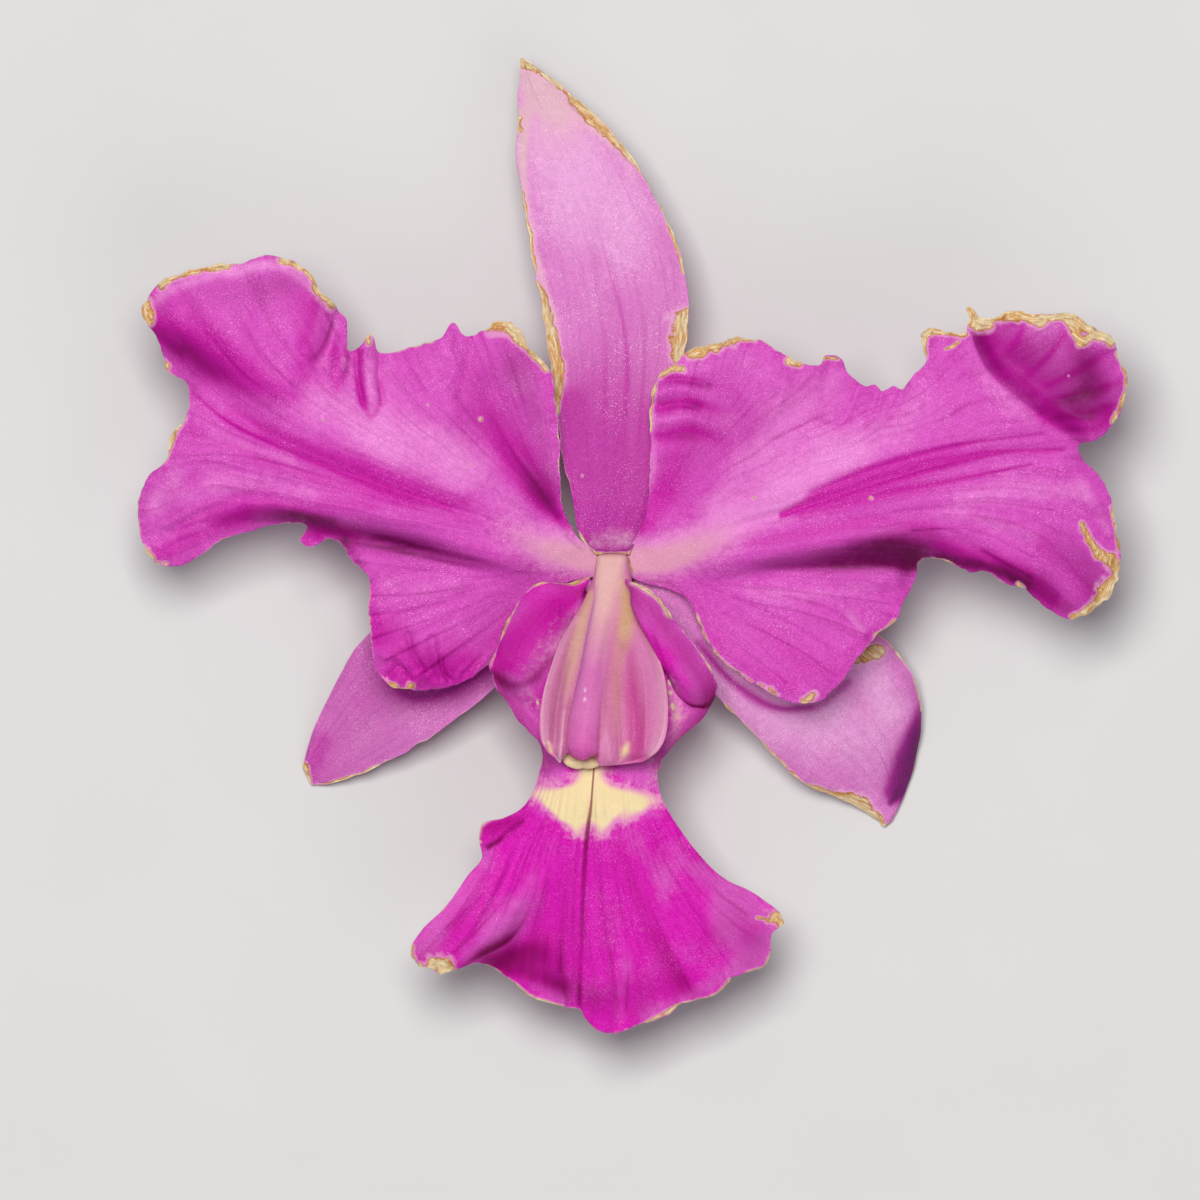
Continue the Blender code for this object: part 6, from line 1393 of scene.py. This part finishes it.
# Column: the flower's fused stamens and style, a firm waxy body with a rounded ridge down its
# front and a thin wing on each side, on the foot that it shares with the lip.
# Stations: y; x of left rim, crest and right rim; the crest's height; y and height of the underside.
COLUMN = [
    (-0.15, -1.45, 0.05, 1.5, 12.9, -3.6, 12.9), (-0.1, -1.45, 0.05, 1.5, 15.2, -3.75, 14.3),
    (-0.2, -1.48, 0.1, 1.52, 17.1, -3.85, 15.1), (-1.2, -1.62, 0.1, 1.62, 17.7, -4.1, 15.4),
    (-2.4, -1.85, 0.0, 1.9, 18.2, -4.6, 15.6), (-3.6, -2.3, -0.1, 2.05, 18.7, -5.2, 15.8),
    (-5.0, -2.9, -0.2, 2.2, 19.3, -6.0, 16.2), (-7.0, -4.1, -0.5, 2.8, 20.2, -7.5, 16.9),
    (-9.0, -5.2, -0.9, 3.8, 21.3, -9.2, 17.7), (-11.5, -6.1, -1.3, 5.0, 22.5, -11.5, 18.8),
    (-14.0, -6.85, -1.8, 5.5, 23.7, -14.0, 19.8), (-16.5, -7.2, -2.2, 5.6, 24.6, -16.5, 20.8),
    (-18.6, -7.1, -2.6, 5.3, 25.1, -18.6, 21.6), (-20.0, -6.5, -2.8, 4.6, 25.0, -20.0, 22.2),
    (-20.9, -5.6, -2.6, 3.6, 24.4, -20.9, 22.7)]
COLUMN_RIM = 0.8              # depth of the wings' rims
COLUMN_DROP = 0.12            # fall of the top for each mm from the crest
COLUMN_TEETH = [(-5.6, 0.2), (-5.2, -0.2), (-4.75, 0.5), (-4.4, 0.9), (-3.9, 0.35), (-2.8, 0.0),
                (-2.0, 0.45), (-1.6, 0.3), (-1.2, -0.5), (0.4, -0.4), (2.0, -0.2), (3.0, -0.1),
                (3.6, 0.2)]
COLUMN_RIDGE = [(0.05, -0.1), (-0.2, -1.7), (-0.45, -3.3), (-0.92, -6.0), (-1.4, -8.1), (-1.7, -9.9),
                (-2.1, -12.6), (-2.5, -15.0), (-2.88, -17.6), (-3.0, -21.4)]
RIDGE_HALF = (1.5, 1.35, 1.15, 1.15, 1.15, 1.25, 1.4, 1.58, 1.66, 1.6)
RIDGE_HEIGHT = (0.05, 0.15, 0.35, 0.6, 0.8, 0.9, 1.0, 1.1, 1.15, 1.1)
COLUMN_FORM = [
    ([(-3.6, -6.6), (-5.0, -9.6), (-6.1, -12.8), (-6.5, -16), (-6.5, -19)], 0.45, 0.35),
    ([(-4.0, -9.4), (-4.9, -12.6), (-5.5, -16), (-5.7, -19)], 0.35, (-0.1, -0.3, -0.35, -0.2)),
    ([(-4.8, -15.6), (-5.2, -20.6)], 0.3, (0.1, 0.45)),
    ([(2.6, -7.4), (3.9, -11), (4.6, -14.6), (4.5, -18), (3.6, -20.4)], 0.65, 0.4),
    ([(1.3, -10), (1.9, -14), (2.3, -17), (2.3, -20)], 0.7, 0.3),
    ([(3.0, -10.4), (3.4, -15.4), (3.2, -20.4)], 0.3, (0, -0.25, 0)),
    ([(-0.5, -15.5), (-0.2, -20.8)], 0.5, (0, 0.35)), ([(0.5, -15), (0.8, -20.6)], 0.22, (0, -0.3))]
COLUMN_GROUND = (0.64, 0.15, 0.39)
# Colour layers of the column and of its ridge: mostly its own colours, with painted shade and glints
# where marked.
COLUMN_TINTS = [
    ((0.46, 0.11, 0.26), [([(-3.7, -7.6), (-4.9, -11.4), (-5.7, -15), (-6.1, -18.6)],
                           (0.4, 0.55, 0.6, 0.5), 1.0)]),
    ((0.62, 0.16, 0.42), [([(2.8, -8.6), (3.8, -12.6), (4.0, -17), (3.6, -19.4)], 0.7, 0.8)]),
    ((0.66, 0.37, 0.27), [([(-2.2, -4.2), (-3.0, -7.2), (-3.7, -10.2), (-4.4, -13.4), (-4.9, -16)],
                           (0.5, 0.7, 0.7, 0.5, 0.3), (1.0, 1.0, 0.9, 0.6, 0.1))]),
    ((0.63, 0.38, 0.20), [([(0.9, -3.2), (1.5, -5.2), (1.3, -7.6), (0.8, -10.4)], (0.6, 0.9, 0.9, 0.7),
                           (0.9, 1.1, 1.0, 0.3))]),
    ((0.57, 0.19, 0.24), [([(0.9, -9.2), (0.5, -12), (0.4, -15), (0.2, -18)], 0.6,
                           (0.5, 0.9, 0.8, 0.4))]),
    ((0.54, 0.03, 0.27), [([(1.8, -10.6), (2.0, -14), (2.4, -17), (2.5, -20.2)], (0.5, 0.8, 1.0, 1.0),
                           (0.4, 1.0, 1.2, 1.3))]),
    ((0.80, 0.37, 0.56), [([(-3.8, -6.4), (-5.3, -9.6), (-6.4, -12.8), (-6.9, -16), (-6.8, -19)], 0.34,
                           0.85),
                          ([(3.3, -7.8), (4.6, -11.4), (5.1, -15), (4.9, -18.4), (3.9, -20.2)], 0.42,
                           0.8),
                          ([(-4.85, -16), (-5.25, -20.8)], 0.26, (0.4, 1.0))]),
    ((0.66, 0.20, 0.44), [([(-0.5, -18.6), (-0.3, -21)], 0.5, 0.8)]),
    # A brownish line of painted shade along the ridge's right side, and thin dark lines on the wings.
    ((0.38, 0.08, 0.12), [([(0.45, -6.6), (-0.2, -9.6), (-0.5, -12.6), (-0.75, -15.4), (-1.1, -18.4)],
                           0.25, (0.0, 0.1, 0.25, 0.35, 0.4)),
                          ([(-4.2, -14.6), (-4.6, -17), (-4.7, -19.6)], 0.16, 0.6),
                          ([(0.6, -12), (0.7, -16), (0.9, -20)], 0.18, (0, 0.4, 0.3))]),
    ((0.80, 0.58, 0.32), [([(1.55, -19.2), (1.35, -19.7), (1.1, -20.3)], (0.28, 0.42, 0.3),
                           (0.6, 1.1, 0.8)),
                          ([(-6.35, -19.1), (-6.05, -19.9)], 0.2, 0.9)])]
RIDGE_TINTS = [
    ((0.80, 0.46, 0.44), [([(0.0, 0), (-0.4, -3.4), (-0.9, -6), (-1.5, -9), (-2.1, -12)], 3.0,
                           (1.2, 1.2, 0.9, 0.45, 0.0))]),
    ((0.60, 0.04, 0.36), [([(-2.6, -16.0), (-3.0, -20.6)], 2.4, (0.0, 1.0))]),
    ((0.50, 0.14, 0.50), [([(-1.5, -3.4), (-2.0, -6), (-2.45, -8.2), (-2.8, -10), (-3.3, -12.4),
                            (-4.0, -15.2)], 0.24, (0.3, 0.6, 0.6, 0.6, 0.5, 0.2))]),
    # A painted shade line under the ridge's tip.
    ((0.30, 0.02, 0.05), [([(-4.5, -20.4), (-2.9, -21.0), (-1.5, -20.3)], 0.3, 1.0)]),
    # Two painted glints on the ridge.
    ((0.92, 0.75, 0.90), [([(-2.7, -13.75), (-2.68, -13.85)], 0.12, 0.9),
                          ([(-2.7, -14.65), (-2.75, -14.75)], 0.13, 0.9)]),
    ((0.36, 0.06, 0.05), [([(-1.8, -0.05), (1.9, -0.05)], 0.3, 0.8)])]
RIDGE_GROUND = (0.70, 0.15, 0.48)
COLUMN_DEEP = (0.50, 0.03, 0.25)
COLUMN_DARK = (0.25, 0.03, 0.08)
COLUMN_SPARKLE_TINT = (1.0, 0.66, 0.68)


def tinted(x, y, ground, layers):
    """Colours at points: each layer's colour is laid over those before it, by its strokes."""
    colour = np.tile(np.array(ground, float), (len(x), 1))
    for paint, marks in layers:
        colour += np.clip(strokes(x, y, marks), 0, 1)[:, None] * (np.array(paint) - colour)
    return colour


def column_section(i, around):
    """Rings round the column at the stations i, and s, from -1 at the left rim to 1 at the right.
    Over the top the height falls from the crest by a share of the reach; below it runs back to the
    middle of the underside, hollow under the wings. The ridge is a half round over its own line."""
    y, left, crest, right, top, y_low, z_low = through(np.array(COLUMN), i).T[:, :, None]
    s = np.linspace(-1, 1, around)[None]
    x = np.where(s < 0, crest + s * (crest - left), crest + s * (right - crest))
    reach = np.abs(x - crest)
    grown = smooth((i - 1) / 2)[:, None]
    z = top - grown * (COLUMN_DROP * reach * smooth(reach / 2.5))
    z = z - 0.5 * np.abs(s) ** 6 * grown
    rim = z - COLUMN_RIM
    low = np.minimum(z_low + (rim - z_low) * s ** 4 * grown, rim * grown + z_low * (1 - grown))
    teeth = np.interp(x, *np.array(COLUMN_TEETH).T) * smooth((i - 11.5) / 2.5)[:, None]
    y_top = y - (1 - grown) * 0.5 * s ** 4 + teeth
    share, off = beside(x, y_top + 0 * x, COLUMN_RIDGE)
    q = off / spread(share, RIDGE_HALF)
    proud = spread(share, RIDGE_HEIGHT)
    swell = np.clip(1 - q * q, 0, 1)
    blend = smooth((y_top + 19) / 8)
    soft = np.clip(1 - 0.55 * q * q, 0, 1) ** 3
    dome = np.where(off > 0, (1 - blend) * np.sqrt(swell) + blend * soft, np.sqrt(swell))
    z = z + (strokes(x, y_top, COLUMN_FORM) + proud * (dome - 0.85)) * grown
    upper = np.stack([x, y_top, np.maximum(z, low + 0.35)], -1)
    lower = np.stack([x + 0 * low, y_low + (y - y_low) * s ** 4 * 0.6 + teeth, low], -1)
    s = s + 0 * x
    return tuple(np.concatenate([a, b[:, ::-1]], axis=1)[:, ::-1] for a, b in ((upper, lower), (s, s)))


def rings_to_faces(m, n):
    """Triangles of a skin through m rings of n points, with an n-point strip across each end."""
    k = np.arange(m * n).reshape(m, n)
    turned = np.roll(k, -1, axis=1)
    a, b, c, d = k[:-1], turned[:-1], turned[1:], k[1:]
    j = np.arange(n // 2 - 1)
    ends = []
    for first, flip in ((0, 1), ((m - 1) * n, -1)):
        one = np.stack([first + n - 2 - j, first + j + 1, first + j], -1)
        two = np.stack([first + n - 1 - j, first + n - 2 - j, first + j], -1)
        ends += [one[:, ::flip], two[:, ::flip]]
    sides = [np.stack(corners, -1).reshape(-1, 3) for corners in ((a, b, c), (a, c, d))]
    return np.concatenate(sides + ends)


rings, across = column_section(np.linspace(0, len(COLUMN) - 1, 170), 150)
points = rings.reshape(-1, 3)
x, y = points[:, 0], points[:, 1]
shares, dried = painted(x, y, {}, 91)
share, off = beside(x, y, COLUMN_RIDGE)
soft = np.where(off > 0, 0.3 + 1.5 * smooth((y + 13) / 7), 0.16)
on_ridge = smooth((spread(share, RIDGE_HALF) - np.abs(off)) / soft + 0.5)[:, None]
tint = tinted(x, y, COLUMN_GROUND, COLUMN_TINTS)
tint += on_ridge * (tinted(x, y, RIDGE_GROUND, RIDGE_TINTS) - tint)
facts = facts_at(across.ravel() * 0.5, -y, 0 * y + 3, shares, dried)
facts["tint"] = tint
finish = tissue("column_finish", None, None, COLUMN_DEEP, COLUMN_DARK, 0.25, 0.25, gloss=0.36,
                sparkle_tint=COLUMN_SPARKLE_TINT)
body("column", points, rings_to_faces(*rings.shape[:2]), facts, finish)

# Anther cap: a small two-lobed waxy bead that closes the column's tip, showing as a cream crescent
# below the ridge.
ANTHER = (-2.9, -20.75, 21.45)
ANTHER_SIZE = (2.0, 1.0, 0.7)
ANTHER_CREAM = (0.92, 0.68, 0.40)
ANTHER_PALE = (0.95, 0.76, 0.5)
ANTHER_DEEP = (0.7, 0.4, 0.3)
ANTHER_DARK = (0.25, 0.10, 0.03)
ANTHER_SPARKLE_TINT = (1.0, 0.95, 0.8)
a, t = np.meshgrid(np.radians(np.linspace(-80, 80, 40)), np.arange(72) / 72 * 2 * np.pi, indexing="ij")
cleft = 1 - 0.14 * np.exp(-(np.cos(t) / 0.16) ** 2) * (np.sin(t) < 0)
round_bead = np.stack([np.cos(a) * np.cos(t), np.cos(a) * np.sin(t) * cleft, np.sin(a)], -1)
rings = np.array(ANTHER) + np.array(ANTHER_SIZE) * round_bead
points = rings.reshape(-1, 3)
flat = 0 * points[:, 0]
# shaded: painted shade on the part of the cap that lies under the column's tip, towards ANTHER_DARK.
shaded = 0.35 * (points[:, 1] > -20.9)
facts = facts_at(flat, flat, flat + 3, np.stack([flat, flat, shaded], -1), flat)
finish = tissue("anther_finish", ANTHER_CREAM, ANTHER_PALE, ANTHER_DEEP, ANTHER_DARK, 0.2, 0.2,
                sparkle_tint=ANTHER_SPARKLE_TINT)
body("anther_cap", points, rings_to_faces(*rings.shape[:2]), facts, finish)

# Stalk: the green ovary and stalk below the flower, bent back behind it and lying along the
# surface, faintly ribbed, with a cut end.
# Its line: x, y, height and radius.
STALK = [
    (0.0, -1.6, 12.6, 2.9), (0.0, -1.6, 11.6, 2.8), (-0.1, -1.4, 10.2, 2.3), (-0.2, -0.9, 7.8, 2.0),
    (-0.3, 0.8, 5.2, 1.95), (-0.5, 4.2, 3.0, 1.9), (-0.7, 9.0, 1.8, 1.8), (-0.9, 15.0, 1.5, 1.65),
    (-1.0, 22.0, 1.45, 1.6), (-1.1, 30.0, 1.45, 1.6), (-1.2, 37.5, 1.45, 1.7)]
STALK_LEAF_GREEN = (0.20, 0.27, 0.055)
STALK_PALE_GREEN = (0.36, 0.40, 0.12)
STALK_RED = (0.30, 0.10, 0.12)
STALK_RIBS = 6
i = np.concatenate([[0, 0.15, 0.5], np.linspace(1, len(STALK) - 1, 170)])
line = through(np.array(STALK), i)
d = np.gradient(line[:, :3], axis=0)
d /= np.linalg.norm(d, axis=1, keepdims=True)
d[:3] = (0, 0, -1)
side = np.array([1.0, 0.0, 0.0])
b = np.cross(d, side)
b /= np.linalg.norm(b, axis=1, keepdims=True)
a = np.cross(b, d)
t = np.arange(64) / 64 * 2 * np.pi
rib = 1 - 0.035 * (0.5 + 0.5 * np.cos(t * STALK_RIBS))[None]
rib = rib - 0.01 * grain(np.arange(len(i))[:, None] / 9, t[None] * 5, 95)
spokes = np.cos(t)[:, None] * a[:, None] + np.sin(t)[:, None] * b[:, None]
rings = line[:, None, :3] + line[:, None, 3:] * rib[..., None] * spokes
rings[:3, :, 2] = line[:3, None, 2]
rings[..., 2] = np.maximum(rings[..., 2], 0.0)
green = Finish("stalk_finish")
at = green.place()
patches = green.noise(at, 260.0, 4.0, 0.6)
lengthwise = green.node("ShaderNodeMapping", {}, {"Vector": at, "Scale": (2600.0, 160.0, 2600.0)})
fibres = green.noise(lengthwise, 1.0, 3.0, 0.6)
shade = green.mix(patches.band(0.35, 0.65), STALK_LEAF_GREEN, STALK_PALE_GREEN)
shade = green.mix(fibres.band(0.5, 0.75) * 0.5, shade, STALK_RED)
green.feed(Base_Color=shade, Roughness=0.45 + (patches - 0.5) * 0.3,
           Normal=green.bump(fibres * 0.6 + patches * 0.5, 0.4, 0.00012),
           Subsurface_Weight=0.1, Subsurface_Radius=(0.5, 1.0, 0.3), Subsurface_Scale=0.0005)
body("flower_stalk", rings.reshape(-1, 3), rings_to_faces(*rings.shape[:2]), {}, green)
